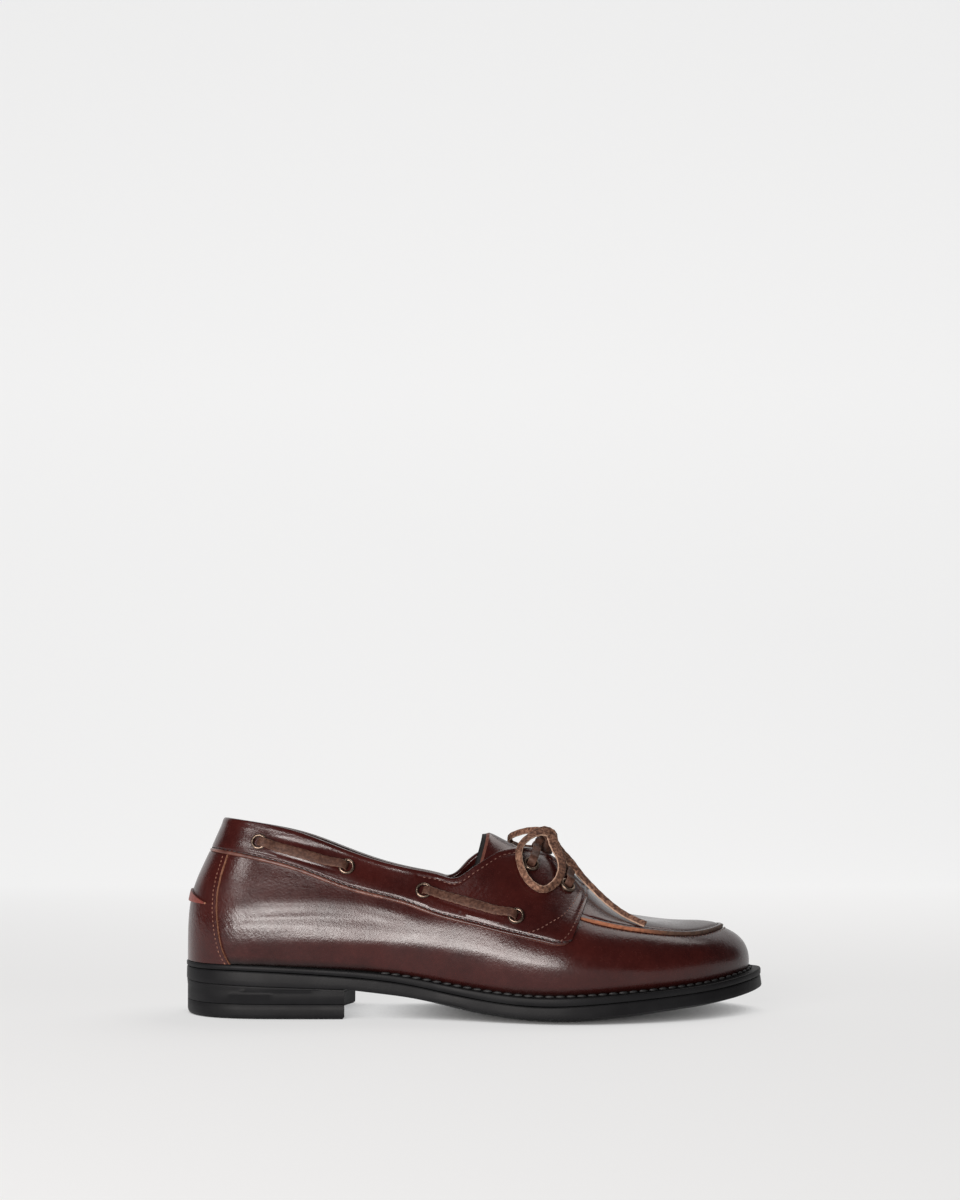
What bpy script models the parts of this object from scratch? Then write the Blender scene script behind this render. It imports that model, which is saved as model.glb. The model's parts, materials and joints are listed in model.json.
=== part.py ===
"""A right-foot loafer with a lace, in metres, toe towards +X, outer (lateral) side towards -Y, standing on z = 0.

The upper, its overlays and the tongue are cut from one surface, the last: ribs that rise from the feather
line to the ridge or the topline. The tables below give that surface in millimetres.
"""

import math

import bmesh
import bpy
import numpy as np
from mathutils import Matrix, Vector

MM = 0.001
FIT_GAP = 0.3  # clearance between pieces that touch
LENGTH = 299.4  # of the sole
TOE_FLARE = 0.5  # how far the sole's lower edge stands out at the toe
BACK_X = -LENGTH / 2
TOE_X = LENGTH / 2 - TOE_FLARE

# Outline of the sole in plan, from the back of the heel to the toe: x, y.
LATERAL_EDGE = (
    (BACK_X, 0.0), (-146.3, -13.5), (-137.0, -24.5), (-121.0, -31.3), (-95.0, -33.6), (-60.0, -33.6),
    (-30.0, -34.8), (-5.0, -40.0), (18.0, -47.2), (40.0, -51.5), (58.0, -51.4), (80.0, -47.7),
    (102.0, -40.6), (122.0, -29.8), (137.0, -16.6), (145.4, -4.5), (TOE_X, 8.5),
)
MEDIAL_EDGE = (
    (BACK_X, 0.0), (-146.3, 12.5), (-137.0, 22.8), (-121.0, 29.8), (-95.0, 31.8), (-65.0, 29.3),
    (-38.0, 27.4), (-15.0, 30.5), (8.0, 38.5), (30.0, 46.6), (52.0, 51.4), (72.0, 51.6), (92.0, 49.5),
    (111.0, 44.8), (127.0, 37.0), (139.0, 27.5), (146.6, 18.0), (TOE_X, 8.5),
)

# Heights and widths along the sole: x, value.
WELT_TOP = (
    (BACK_X, 26.8), (-115, 26.6), (-88, 25.5), (-60, 23.8), (-38, 21.5), (-13, 17.2), (12, 13.8),
    (35, 12.8), (54.5, 13.5), (75, 14.7), (101, 16.4), (117, 17.7), (129, 19.1), (141, 20.7), (TOE_X, 21.8),
)
WELT_THICKNESS = ((BACK_X, 2.5), (-80, 2.8), (-20, 3.6), (40, 4.0), (100, 3.3), (TOE_X, 3.4))
WELT_REACH = ((BACK_X, 2.0), (-110, 2.2), (-60, 3.0), (-20, 3.8), (20, 4.8), (60, 5.2), (110, 5.5), (TOE_X, 5.7))
SOLE_RIM = (
    (-64.8, 14.8), (-48, 12.8), (-35, 11.2), (-13, 7.6), (2, 5.1), (12, 4.0), (23, 3.2), (35, 2.8),
    (45, 2.85), (62, 3.8), (82, 5.4), (101, 7.2), (120, 8.6), (135, 10.3), (TOE_X, 12.5),
)

# The ribs of the last: x of the foot of the rib, then distance inwards from the feather line (w) and
# height (z) at the widest point, on the wall, at the shoulder or apron seam, and at the top.
RIBS = (
    # x,      w1,   z1,   w2,   z2,   w3,   z3,   w4,  z4
    (-147.5, 0.2, 42.0, 2.6, 62.0, 9.8, 79.5, 20.2, 103.0),
    (-125.0, -1.5, 42.0, 0.8, 61.0, 6.0, 79.0, 13.0, 101.0),
    (-90.0, -2.6, 41.0, -1.2, 57.0, 2.5, 73.0, 8.5, 95.0),
    (-50.0, -3.6, 37.0, -2.8, 50.0, 1.0, 64.0, 8.0, 83.0),
    (-22.0, -4.5, 34.0, -3.8, 46.0, 1.5, 59.0, 12.0, 79.0),
    (2.0, -4.0, 31.0, -2.2, 45.0, 6.5, 64.0, 38.0, 95.0),
    (20.0, -3.0, 29.0, 0.0, 43.0, 10.0, 62.0, 38.0, 86.0),
    (50.0, -2.5, 27.0, 1.6, 39.5, 12.0, 50.5, 38.0, 65.0),
    (85.0, -2.0, 25.5, 1.8, 35.5, 9.6, 43.0, 38.0, 51.0),
    (115.0, -1.2, 26.0, 1.6, 35.0, 9.2, 40.7, 38.0, 48.0),
    (143.1, -0.1, 26.5, 2.6, 34.8, 14.0, 42.7, 38.0, 48.0),
)
RIDGE = (
    (2, 97.0), (8.2, 95.0), (15.5, 91.8), (21.2, 90.2), (28, 88.2), (36, 84.3), (45, 76.8), (51, 70.2),
    (57.6, 62.6), (64, 56.3), (70, 51.7), (77, 48.3), (85, 46.4), (96, 45.4), (108, 45.1),
)
# Where the rib whose foot is at x meets the spine of the shoe: x of the foot, x on the spine.
SPINE_X = (
    (-147.5, -108), (-120, -103), (-90, -86), (-40, -38), (0, 0), (60, 60), (95, 86), (120, 98), (143.1, 106),
)
SPINE_Y = ((-150, 0), (-60, -1), (0, -2), (50, 1), (85, 4), (110, 6))
COLLAR_END = -24.0  # behind this the ribs stop at the topline
INSTEP_START = 2.0  # in front of this they reach the ridge

# Edges of the upper and its overlays in side view: x, z.
TOPLINE = (
    (-131, 100.3), (-110.8, 97.1), (-90.1, 92.5), (-65.3, 83.3), (-47.7, 77.4), (-32.5, 73.8),
    (-17.4, 70.3), (-9.4, 69.1), (-2, 73.8), (5.5, 78.7), (12, 82.5), (19.7, 84.3),
)
BAND_LOW = (
    (-137.8, 83.3), (-121.3, 80.9), (-102, 76.8), (-85, 71.7), (-68.4, 65.4), (-52, 60.6),
    (-35.5, 56.5), (-24.3, 52.5), (-13, 49.1), (-2, 46.6), (11.7, 43.2), (25.3, 40.2), (34.5, 38.1),
)
MEDIAL_DROP = 1.8  # how much lower the collar and its band sit on the medial side
FACING_FRONT = (
    (38.5, 37.1), (43.8, 37.8), (46.6, 39.8), (48.8, 44.2), (51.6, 49.8), (54.0, 54.8), (56.1, 59.2), (56.9, 61.8),
    (56.5, 63.6), (54.4, 66.8), (50.5, 74.0), (44.0, 90.0),
)
STRAP_EDGE = (
    (-124.3, 83.5), (-125.0, 81.0), (-127.4, 72.5), (-128.9, 64.0), (-129.2, 55.5), (-128.5, 47.0),
    (-127.6, 38.5), (-125.6, 30.5),
)
THROAT_HALF = ((4, 17.0), (20, 14.0), (28, 12.0), (36, 10.8), (45, 10.2), (57.5, 9.4))
THROAT_END = 58.0
THROAT_CORNER = 4.0

STRAP_FOOT = 29.0
WALL = 1.7  # leather and lining of the upper
BAND_THICK = 1.2
APRON_STEP = 1.2
APRON_START = 60.0
TONGUE_THICK = 1.6

STATIONS = 29  # ribs on each side
END_CROWDING = 0.4  # how much closer the ribs stand at heel and toe
ROWS_BETWEEN = (2, 2, 2, 4)  # rows of faces between the knots of a rib

# Side eyelets and throat eyelets in side view, from the heel forward: x, z.
SIDE_EYELETS = ((-108.3, 87.4), (-64.7, 75.0), (-26.1, 63.0), (19.7, 51.1))
THROAT_EYELETS = ((27.2, 75.4), (45.1, 64.7))
LATERAL, MEDIAL = -1, 1


# ---------------------------------------------------------------- curves

def spline(points, flat_end=False):
    """Cubic spline through (x, y) points, straight at its ends, or level at its last end."""
    xs, ys = (np.array(c, float) for c in zip(*points))
    gaps = np.diff(xs)
    slopes = np.diff(ys) / gaps
    count = len(xs)
    system, right = np.zeros((count, count)), np.zeros(count)
    system[0, 0] = system[-1, -1] = 1
    for i in range(1, count - 1):
        system[i, i - 1 : i + 2] = gaps[i - 1], 2 * (gaps[i - 1] + gaps[i]), gaps[i]
        right[i] = 6 * (slopes[i] - slopes[i - 1])
    if flat_end:
        system[-1, -2:] = gaps[-1], 2 * gaps[-1]
        right[-1] = -6 * slopes[-1]
    bend = np.linalg.solve(system, right)

    def value(x):
        x = min(max(x, xs[0]), xs[-1])
        i = min(max(int(np.searchsorted(xs, x)) - 1, 0), count - 2)
        a, b, gap = x - xs[i], xs[i + 1] - x, gaps[i]
        curve = (bend[i] * b**3 + bend[i + 1] * a**3) / (6 * gap)
        return curve + (ys[i] / gap - bend[i] * gap / 6) * b + (ys[i + 1] / gap - bend[i + 1] * gap / 6) * a

    return value


def closed_spline(points):
    """Closed cubic spline through plan points: the parameter of each point, and the curve."""
    p = np.array(points, float)
    count = len(p)
    gaps = np.linalg.norm(np.roll(p, -1, 0) - p, axis=1) ** 0.75
    knots = np.concatenate([[0], np.cumsum(gaps)])
    system, right = np.zeros((count, count)), np.zeros((count, 2))
    for i in range(count):
        before, after, following = gaps[i - 1], gaps[i], (i + 1) % count
        system[i, i - 1] += before
        system[i, i] += 2 * (before + after)
        system[i, following] += after
        right[i] = 6 * ((p[following] - p[i]) / after - (p[i] - p[i - 1]) / before)
    bend = np.linalg.solve(system, right)

    def value(q):
        q = q % knots[-1]
        i = min(int(np.searchsorted(knots, q, side="right")) - 1, count - 1)
        j, a, b, gap = (i + 1) % count, q - knots[i], knots[i + 1] - q, gaps[i]
        curve = (bend[i] * b**3 + bend[j] * a**3) / (6 * gap)
        return curve + (p[i] / gap - bend[i] * gap / 6) * b + (p[j] / gap - bend[j] * gap / 6) * a

    return knots, value


def smooth_step(start, end, x):
    t = min(max((x - start) / (end - start), 0.0), 1.0)
    return t * t * (3 - 2 * t)


EDGE_KNOTS, EDGE = closed_spline(LATERAL_EDGE + MEDIAL_EDGE[-2:0:-1])
TOE_KNOT = EDGE_KNOTS[len(LATERAL_EDGE) - 1]


def even_lengths(start, end, steps=400):
    """Curve parameters and the share of the length that each has covered."""
    q = np.linspace(start, end, steps + 1)
    p = np.array([EDGE(x) for x in q])
    covered = np.concatenate([[0], np.cumsum(np.linalg.norm(np.diff(p, axis=0), axis=1))])
    return covered / covered[-1], q


SIDE_LENGTHS = {LATERAL: even_lengths(0, TOE_KNOT), MEDIAL: even_lengths(EDGE_KNOTS[-1], TOE_KNOT)}
welt_top, welt_thickness, welt_reach = spline(WELT_TOP), spline(WELT_THICKNESS), spline(WELT_REACH)
sole_rim, ridge, spine_x, spine_y = spline(SOLE_RIM), spline(RIDGE), spline(SPINE_X), spline(SPINE_Y)
topline, band_low, throat_half = spline(TOPLINE), spline(BAND_LOW), spline(THROAT_HALF)
rib_column = [spline([(row[0], row[c]) for row in RIBS]) for c in range(1, 9)]


def sole_edge(side, t):
    """Point of the sole's outline and the direction inwards; t runs from the heel's back to the toe."""
    q = float(np.interp(t, *SIDE_LENGTHS[side]))
    along = EDGE(q + 1e-3) - EDGE(q - 1e-3)
    along /= np.linalg.norm(along)
    return EDGE(q), np.array([-along[1], along[0]])


def inside_edge(side, t, inset):
    point, inward = sole_edge(side, t)
    return point + inward * inset


def feather(side, t):
    point, inward = sole_edge(side, t)
    return point + inward * welt_reach(point[0])


# ---------------------------------------------------------------- the last

class Rib:
    """One upright rib of the last, from the feather line towards the spine."""

    def __init__(self, side, t):
        self.foot = feather(side, t)
        x = self.foot[0]
        middle = (x + feather(-side, t)[0]) / 2
        top_x = spine_x(middle)
        self.across = np.array([top_x, spine_y(top_x)]) - self.foot
        reach = np.linalg.norm(self.across)
        self.across /= reach
        self.on_ridge = middle >= INSTEP_START
        blend = smooth_step(COLLAR_END, INSTEP_START, middle)
        column = [c(x) for c in rib_column]
        top_w, top_z = reach, ridge(top_x)
        if not self.on_ridge:
            clipped = min(x, INSTEP_START)
            top_w = (1 - blend) * rib_column[6](clipped) + blend * reach
            top_z = (1 - blend) * rib_column[7](clipped) + blend * ridge(INSTEP_START)
        w = [0.0, column[0], column[2], column[4], top_w]
        z = [welt_top(x) + FIT_GAP, column[1], column[3], column[5], top_z]
        length = np.concatenate([[0], np.cumsum(np.hypot(np.diff(w), np.diff(z)))])
        self.knots = length / length[-1]
        self.inwards = spline(list(zip(self.knots, w)))
        free, level = spline(list(zip(self.knots, z))), spline(list(zip(self.knots, z)), flat_end=True)
        self.height = lambda v: (1 - blend) * free(v) + blend * level(v)

    def point(self, v):
        x, y = self.foot + self.across * self.inwards(v)
        return np.array([x, y, self.height(v)])


def last_normal(side, t, v):
    """Unit normal of the last's surface, outwards."""
    step = 1e-3
    along = Rib(side, min(t + step, 1)).point(v) - Rib(side, max(t - step, 0)).point(v)
    rib = Rib(side, t)
    up = rib.point(min(v + step, 1)) - rib.point(v - step)
    normal = np.cross(along, up) * -side
    return normal / np.linalg.norm(normal)


def rise_to(rib, profile):
    """Where along the rib its height passes the side-view profile z(x)."""
    low, high = 0.05, 1.0
    for _ in range(30):
        middle = (low + high) / 2
        x, _, z = rib.point(middle)
        low, high = (middle, high) if z < profile(x) else (low, middle)
    return high


def seen_at(side, x, z):
    """(t, v) of the surface point that a side view shows at (x, z)."""
    low, high = 0.0, 1.0
    for _ in range(26):
        middle = (low + high) / 2
        rib = Rib(side, middle)
        before = rib.point(rise_to(rib, lambda _: z))[0] < x
        low, high = (middle, high) if before else (low, middle)
    return high, rise_to(Rib(side, high), lambda _: z)


def seat(side, x, z, lift):
    """Point and normal at a given height over the last, where a side view shows (x, z)."""
    t, v = seen_at(side, x, z)
    normal = last_normal(side, t, v)
    return Rib(side, t).point(v) + normal * lift, normal


def station_share(i, stations=STATIONS):
    u = i / stations
    return u - END_CROWDING * math.sin(2 * math.pi * u) / (2 * math.pi)


def over(x, y, lift):
    """Point and normal at a given height over the last, above the plan point (x, y) of its upper half."""
    side = LATERAL if y < spine_y(x) else MEDIAL
    low, high = 0.0, 1.0
    for _ in range(26):
        middle = (low + high) / 2
        rib = Rib(side, middle)
        ahead, aside = (x, y) - rib.foot
        before = side * (rib.across[0] * aside - rib.across[1] * ahead) > 0
        low, high = (middle, high) if before else (low, middle)
    t, rib = high, Rib(side, high)
    reach = np.dot((x, y) - rib.foot, rib.across)
    low, high = rib.knots[1], 1.0
    for _ in range(26):
        middle = (low + high) / 2
        low, high = (middle, high) if rib.inwards(middle) < reach else (low, middle)
    normal = last_normal(side, t, high)
    return rib.point(high) + normal * lift, normal


def rib_rows(rib):
    """Rows along a rib: its knots, the faces between them, and a second row just over the apron seam."""
    rows = []
    for k, count in enumerate(ROWS_BETWEEN):
        start, end = rib.knots[k], rib.knots[k + 1]
        if k == len(ROWS_BETWEEN) - 1:
            rows.append(start)
            start += 0.012
        rows += [start + (end - start) * j / count for j in range(count)]
    return rows + [1.0]


SEAM_ROW = sum(ROWS_BETWEEN[:-1]) + 1  # first row of the apron
RING = 2 * STATIONS


def last_grid():
    """The last as rings of points, and their normals: heel, lateral side, toe, medial side."""
    ribs = [Rib(LATERAL, station_share(i)) for i in range(STATIONS + 1)]
    ribs += [Rib(MEDIAL, station_share(i)) for i in range(STATIONS - 1, 0, -1)]
    points = np.array([[rib.point(v) for v in rib_rows(rib)] for rib in ribs]).transpose(1, 0, 2)
    ridge_from = next(i for i, rib in enumerate(ribs) if rib.on_ridge)
    for i in range(ridge_from, STATIONS):
        points[-1, RING - i] = points[-1, i]
    normals = np.zeros_like(points)
    for j in range(len(points) - 1):
        for k in range(RING):
            corners = ((j, k), (j, (k + 1) % RING), (j + 1, (k + 1) % RING), (j + 1, k))
            a, b, c, d = (points[corner] for corner in corners)
            face = np.cross(c - a, d - b)
            for corner in corners:
                normals[corner] += face
    for i in range(ridge_from, STATIONS):
        normals[-1, i] += normals[-1, RING - i]
        normals[-1, RING - i] = normals[-1, i]
    normals /= np.linalg.norm(normals, axis=2, keepdims=True)
    return points, normals, ridge_from


LAST, LAST_NORMALS, RIDGE_FROM = last_grid()


# ---------------------------------------------------------------- making solids

def ladder(bm, ring, flip):
    """Closes a ring with faces from side to side, from the heel to the toe."""
    half = len(ring) // 2
    for i in range(half):
        corners = [ring[i], ring[i + 1], ring[-i - 1], ring[-i] if i else ring[0]]
        corners = list(dict.fromkeys(corners))
        if len(corners) > 2:
            bm.faces.new(corners[::-1] if flip else corners)


def add_object(name, bm, material, smooth=True):
    bmesh.ops.recalc_face_normals(bm, faces=bm.faces)
    mesh = bpy.data.meshes.new(name)
    bm.to_mesh(mesh)
    bm.free()
    obj = bpy.data.objects.new(name, mesh)
    bpy.context.scene.collection.objects.link(obj)
    if material:
        mesh.materials.append(material)
        if smooth:
            mesh.shade_smooth()
            mesh.set_sharp_from_angle(angle=math.radians(40))
    else:
        obj.hide_render = True
        obj.display_type = "WIRE"
    return obj


def loft(rings):
    """Closed solid through rings of points in millimetres, its two ends closed from side to side."""
    bm = bmesh.new()
    loops = [[bm.verts.new(Vector(p) * MM) for p in ring] for ring in rings]
    for low, high in zip(loops, loops[1:]):
        for k in range(len(low)):
            n = (k + 1) % len(low)
            bm.faces.new((low[k], low[n], high[n], high[k]))
    ladder(bm, loops[0], True)
    ladder(bm, loops[-1], False)
    return bm


def last_form(name, offset, apron=0.0, drop=0.0):
    """The filled last grown by an offset, as a cutter or a body to be cut; drop lengthens it downwards."""
    grown = LAST + LAST_NORMALS * offset
    if apron:
        for j in range(SEAM_ROW, len(LAST)):
            for k in range(RING):
                raised = apron * smooth_step(APRON_START, APRON_START + 1.0, LAST[SEAM_ROW, k][0])
                grown[j, k] = LAST[j, k] + LAST_NORMALS[j, k] * (offset + raised)
    bm = bmesh.new()
    rows = []
    for ring in grown:
        rows.append([bm.verts.new(Vector(p) * MM) for p in ring])
    if drop:
        rows.insert(0, [bm.verts.new(Vector(p - [0, 0, drop]) * MM) for p in grown[0]])
    for i in range(RIDGE_FROM, STATIONS):
        bm.verts.remove(rows[-1][RING - i])
        rows[-1][RING - i] = rows[-1][i]
    for low, high in zip(rows, rows[1:]):
        for k in range(RING):
            n = (k + 1) % RING
            bm.faces.new((low[k], low[n], high[n], high[k]))
    ladder(bm, rows[0], True)
    for i in range(RIDGE_FROM):
        corners = (rows[-1][i], rows[-1][i + 1], rows[-1][-i - 1], rows[-1][-i] if i else rows[-1][0])
        bm.faces.new(list(dict.fromkeys(corners)))
    bmesh.ops.triangulate(bm, faces=bm.faces, quad_method="FIXED")
    return bm


def prism(name, outline, through_by):
    """Cutter: a flat outline of points, pushed along a vector."""
    bm = bmesh.new()
    face = bm.faces.new([bm.verts.new(Vector(p) * MM) for p in outline])
    moved = bmesh.ops.extrude_face_region(bm, geom=[face])["geom"]
    moved = [v for v in moved if isinstance(v, bmesh.types.BMVert)]
    bmesh.ops.translate(bm, vec=Vector(through_by) * MM, verts=moved)
    return add_object(name, bm, None)


def side_prism(name, outline):
    """Cutter with a side-view outline, through the whole shoe, sloping down to the medial side."""
    slope = MEDIAL_DROP / COLLAR_WIDTH
    rise = slope * (SIDE_REACH - COLLAR_WIDTH / 2)
    return prism(name, [(x, -SIDE_REACH, z + rise) for x, z in outline], (0, 2 * SIDE_REACH, -2 * SIDE_REACH * slope))


def boolean(obj, operation, other):
    modifier = obj.modifiers.new(f"{operation.title()} {other.name}", "BOOLEAN")
    modifier.operation = operation
    modifier.object = other


def material(name, colour, roughness, metallic=0.0):
    made = bpy.data.materials.new(name)
    made.use_nodes = True
    shader = made.node_tree.nodes["Principled BSDF"]
    shader.inputs["Base Color"].default_value = (*colour, 1)
    shader.inputs["Roughness"].default_value = roughness
    shader.inputs["Metallic"].default_value = metallic
    made.diffuse_color = (*colour, 1)
    return made


# ---------------------------------------------------------------- start

for old in list(bpy.data.objects):
    bpy.data.objects.remove(old, do_unlink=True)

oxblood = material("oxblood_leather", (0.085, 0.022, 0.017), 0.28)
lining = material("black_lining", (0.02, 0.019, 0.019), 0.6)
rubber = material("black_rubber", (0.022, 0.022, 0.024), 0.42)
rawhide = material("brown_lace", (0.16, 0.075, 0.04), 0.65)
raw_edge = material("raw_red_edge", (0.32, 0.08, 0.045), 0.7)
brass = material("aged_brass", (0.30, 0.19, 0.10), 0.38, 1.0)


# ---------------------------------------------------------------- sole

SOLE_STATIONS = 29
HEEL_BREAST = -64.8
HEEL_SEAM_BACK = 17.6  # underside of the outsole at the back of the heel
CROWN_INSETS = (4.5, 13.0)
CROWN = 3.15
TOP_PIECE = 7.4
TOP_PIECE_BEVEL = 2.3
HEEL_TAPER = 0.5
BREAST_HOLLOW = 7.0


def sole_ring(inset, height, stations=SOLE_STATIONS):
    """Ring of points at an inset from the sole's outline; inset and height depend on the outline's x."""
    ring = []
    sides = [(LATERAL, i) for i in range(stations + 1)] + [(MEDIAL, i) for i in range(stations - 1, 0, -1)]
    for side, i in sides:
        t = station_share(i, stations)
        edge_x = sole_edge(side, t)[0][0]
        x, y = inside_edge(side, t, inset(edge_x))
        ring.append((x, y, height(x)))
    return ring


def outsole_under(x):
    """Height of the outsole's lower rim: level with the heel seam behind the breast."""
    if x < HEEL_BREAST:
        share = (x - BACK_X) / (HEEL_BREAST - BACK_X)
        return HEEL_SEAM_BACK + (sole_rim(HEEL_BREAST) - HEEL_SEAM_BACK) * share
    return sole_rim(x)


def outsole_top(x):
    return welt_top(x) - welt_thickness(x) - FIT_GAP


def crowned(x, share):
    lift = CROWN * share * smooth_step(HEEL_BREAST + 4, 0, x)
    return max(outsole_under(x) - lift, 0.0) if x > HEEL_BREAST else outsole_under(x)


def flare(x):
    return -TOE_FLARE * smooth_step(60, TOE_X, x)


def build_outsole():
    rings = [
        sole_ring(lambda x: CROWN_INSETS[1], lambda x: crowned(x, 1.0)),
        sole_ring(lambda x: CROWN_INSETS[0], lambda x: crowned(x, 0.45)),
        sole_ring(lambda x: flare(x) + 0.6, lambda x: outsole_under(x)),
        sole_ring(flare, lambda x: outsole_under(x) + 0.6),
        sole_ring(lambda x: 0.1, lambda x: outsole_top(x) - 0.5),
        sole_ring(lambda x: 0.6, outsole_top),
    ]
    return add_object("outsole", loft(rings), rubber)


def build_welt():
    """The welt is a closed strip: its rings run round a section of its own."""
    def inner(x):
        return welt_reach(x) + 2.0
    section = (
        (lambda x: 0.5, lambda x: welt_top(x) - welt_thickness(x)),
        (lambda x: 0.0, lambda x: welt_top(x) - welt_thickness(x) + 0.5),
        (lambda x: 0.0, lambda x: welt_top(x) - 0.6),
        (lambda x: 0.6, welt_top),
        (inner, welt_top),
        (inner, lambda x: welt_top(x) - welt_thickness(x)),
    )
    bm = bmesh.new()
    loops = [[bm.verts.new(Vector(p) * MM) for p in sole_ring(*row)] for row in section]
    for a, b in zip(loops, loops[1:] + loops[:1]):
        for k in range(len(a)):
            n = (k + 1) % len(a)
            bm.faces.new((a[k], a[n], b[n], b[k]))
    return add_object("welt", bm, rubber)


def build_insole():
    def inset(x):
        return welt_reach(x) + 2.0 + FIT_GAP
    rings = [
        sole_ring(inset, lambda x: outsole_top(x) + FIT_GAP),
        sole_ring(inset, lambda x: welt_top(x) + 0.7),
        sole_ring(lambda x: inset(x) + 0.6, lambda x: welt_top(x) + 1.3),
    ]
    return add_object("insole", loft(rings), lining)


def heel_outline(inset):
    """Plan of the heel: round the back from breast to breast, then the hollow breast."""
    shape = []
    for side in (MEDIAL, LATERAL):
        part = []
        for i in range(200):
            x, y = inside_edge(side, i / 400, inset)
            if x > HEEL_BREAST - inset * 0.5:
                break
            part.append((x, y))
        picks = [part[round(j * (len(part) - 1) / 13)] for j in range(14)]
        shape += picks[::-1] if side == MEDIAL else picks[1:]
    (x0, y0), (x1, y1) = shape[-1], shape[0]
    for j in range(1, 10):
        a = j / 10
        shape.append((x0 + (x1 - x0) * a - BREAST_HOLLOW * math.sin(math.pi * a), y0 + (y1 - y0) * a))
    return shape


def heel_layer(name, sections):
    """Solid through heel outlines, each given by its inset and its height z(x)."""
    bm = bmesh.new()
    loops = [
        [bm.verts.new(Vector((x, y, height(x))) * MM) for x, y in heel_outline(inset)]
        for inset, height in sections
    ]
    for a, b in zip(loops, loops[1:]):
        for k in range(len(a)):
            n = (k + 1) % len(a)
            bm.faces.new((a[k], a[n], b[n], b[k]))
    bm.faces.new(loops[0])
    bm.faces.new(loops[-1])
    return add_object(name, bm, rubber)


def build_heel():
    heel_layer("heel_block", (
        (HEEL_TAPER, lambda x: TOP_PIECE + FIT_GAP),
        (HEEL_TAPER * 0.5, lambda x: outsole_under(x) - FIT_GAP),
    ))
    heel_layer("heel_top_piece", (
        (2.6, lambda x: 0.0),
        (1.3, lambda x: 0.7),
        (HEEL_TAPER, lambda x: TOP_PIECE_BEVEL),
        (HEEL_TAPER, lambda x: TOP_PIECE),
    ))


build_outsole()
build_welt()
build_insole()
build_heel()


# ---------------------------------------------------------------- upper and overlays

def sampled(profile, points):
    """The points of a side-view edge with more between them, so that it cuts a smooth curve."""
    xs = np.linspace(points[0][0], points[-1][0], 20)
    return [(x, profile(x)) for x in xs]


ABOVE = 130.0
COLLAR_WIDTH = 56.0
SIDE_REACH = 90.0
BEYOND = 175.0
TOP_CUT_END = 24.0

above_topline = side_prism("cut_topline", [
    (-BEYOND, 99.9), *sampled(topline, TOPLINE), (TOP_CUT_END, 86.0), (TOP_CUT_END, ABOVE), (-BEYOND, ABOVE),
])


def throat_cutter():
    """The slot between the facings, seen from above: open behind, rounded in front."""
    half = [(x, throat_half(x)) for x in np.linspace(6, THROAT_END - THROAT_CORNER, 9)]
    width = throat_half(THROAT_END)
    for i in range(1, 4):
        a = math.radians(90 - 30 * i)
        centre = (THROAT_END - THROAT_CORNER, width - THROAT_CORNER)
        half.append((centre[0] + THROAT_CORNER * math.cos(a), centre[1] + THROAT_CORNER * math.sin(a)))
    outline = [(x, spine_y(x) - y, 50) for x, y in half] + [(x, spine_y(x) + y, 50) for x, y in half[::-1]]
    return prism("cut_throat", outline, (0, 0, 80))


throat = throat_cutter()
inside = add_object("form_inside", last_form("form_inside", -WALL, drop=8.0), None)
under_band = add_object("form_under_band", last_form("form_under_band", FIT_GAP, drop=8.0), None)

HOLE_RADIUS = 3.4
BAND_FACE = FIT_GAP + BAND_THICK  # height of the band's outer face over the last
FLANGE_LIFT = BAND_FACE + 0.65


def eyelet_places():
    """Name, point on the band's face and normal of each eyelet."""
    for side, word in ((LATERAL, "lateral"), (MEDIAL, "medial")):
        drop = MEDIAL_DROP if side == MEDIAL else 0.0
        for i, (x, z) in enumerate(SIDE_EYELETS):
            yield f"eyelet_{word}_{i + 1}", *seat(side, x, z - drop, FLANGE_LIFT)
        for i, (x, z) in enumerate(THROAT_EYELETS):
            yield f"eyelet_throat_{word}_{i + 1}", *seat(side, x, z - drop, FLANGE_LIFT)


EYELETS = {name: (point, normal) for name, point, normal in eyelet_places()}


def frame_at(point, normal):
    turn = Vector((0, 0, 1)).rotation_difference(Vector(normal))
    return Matrix.Translation(Vector(point) * MM) @ turn.to_matrix().to_4x4()


def hole_cutter():
    bm = bmesh.new()
    for point, normal in EYELETS.values():
        bmesh.ops.create_cone(
            bm, cap_ends=True, segments=10, radius1=HOLE_RADIUS * MM, radius2=HOLE_RADIUS * MM,
            depth=14 * MM, matrix=frame_at(point, normal),
        )
    return add_object("cut_eyelet_holes", bm, None)


holes = hole_cutter()


def build_upper():
    upper = add_object("upper", last_form("upper", 0.0, apron=APRON_STEP), oxblood)
    boolean(upper, "DIFFERENCE", inside)
    for cutter in (above_topline, throat, holes):
        boolean(upper, "DIFFERENCE", cutter)
    return upper


def build_collar_band():
    """Band under the topline that ends in front as the two eyelet facings."""
    area = side_prism("area_band", [
        (-BEYOND, 84.0), *sampled(band_low, BAND_LOW), *FACING_FRONT, (62.0, ABOVE), (-BEYOND, ABOVE),
    ])
    band = add_object("collar_band", last_form("collar_band", BAND_FACE), oxblood)
    boolean(band, "DIFFERENCE", under_band)
    boolean(band, "INTERSECT", area)
    for cutter in (above_topline, throat, holes):
        boolean(band, "DIFFERENCE", cutter)
    return band


def build_back_strap():
    area = side_prism("area_back_strap", [
        (-BEYOND, 83.3), *[(x, band_low(x) - FIT_GAP) for x in np.linspace(-137.8, STRAP_EDGE[1][0], 8)],
        *STRAP_EDGE[1:], (-125.0, STRAP_FOOT), (-BEYOND, STRAP_FOOT),
    ])
    strap = add_object("back_strap", last_form("back_strap", BAND_FACE, drop=8.0), oxblood)
    boolean(strap, "DIFFERENCE", under_band)
    boolean(strap, "INTERSECT", area)
    return strap


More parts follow.
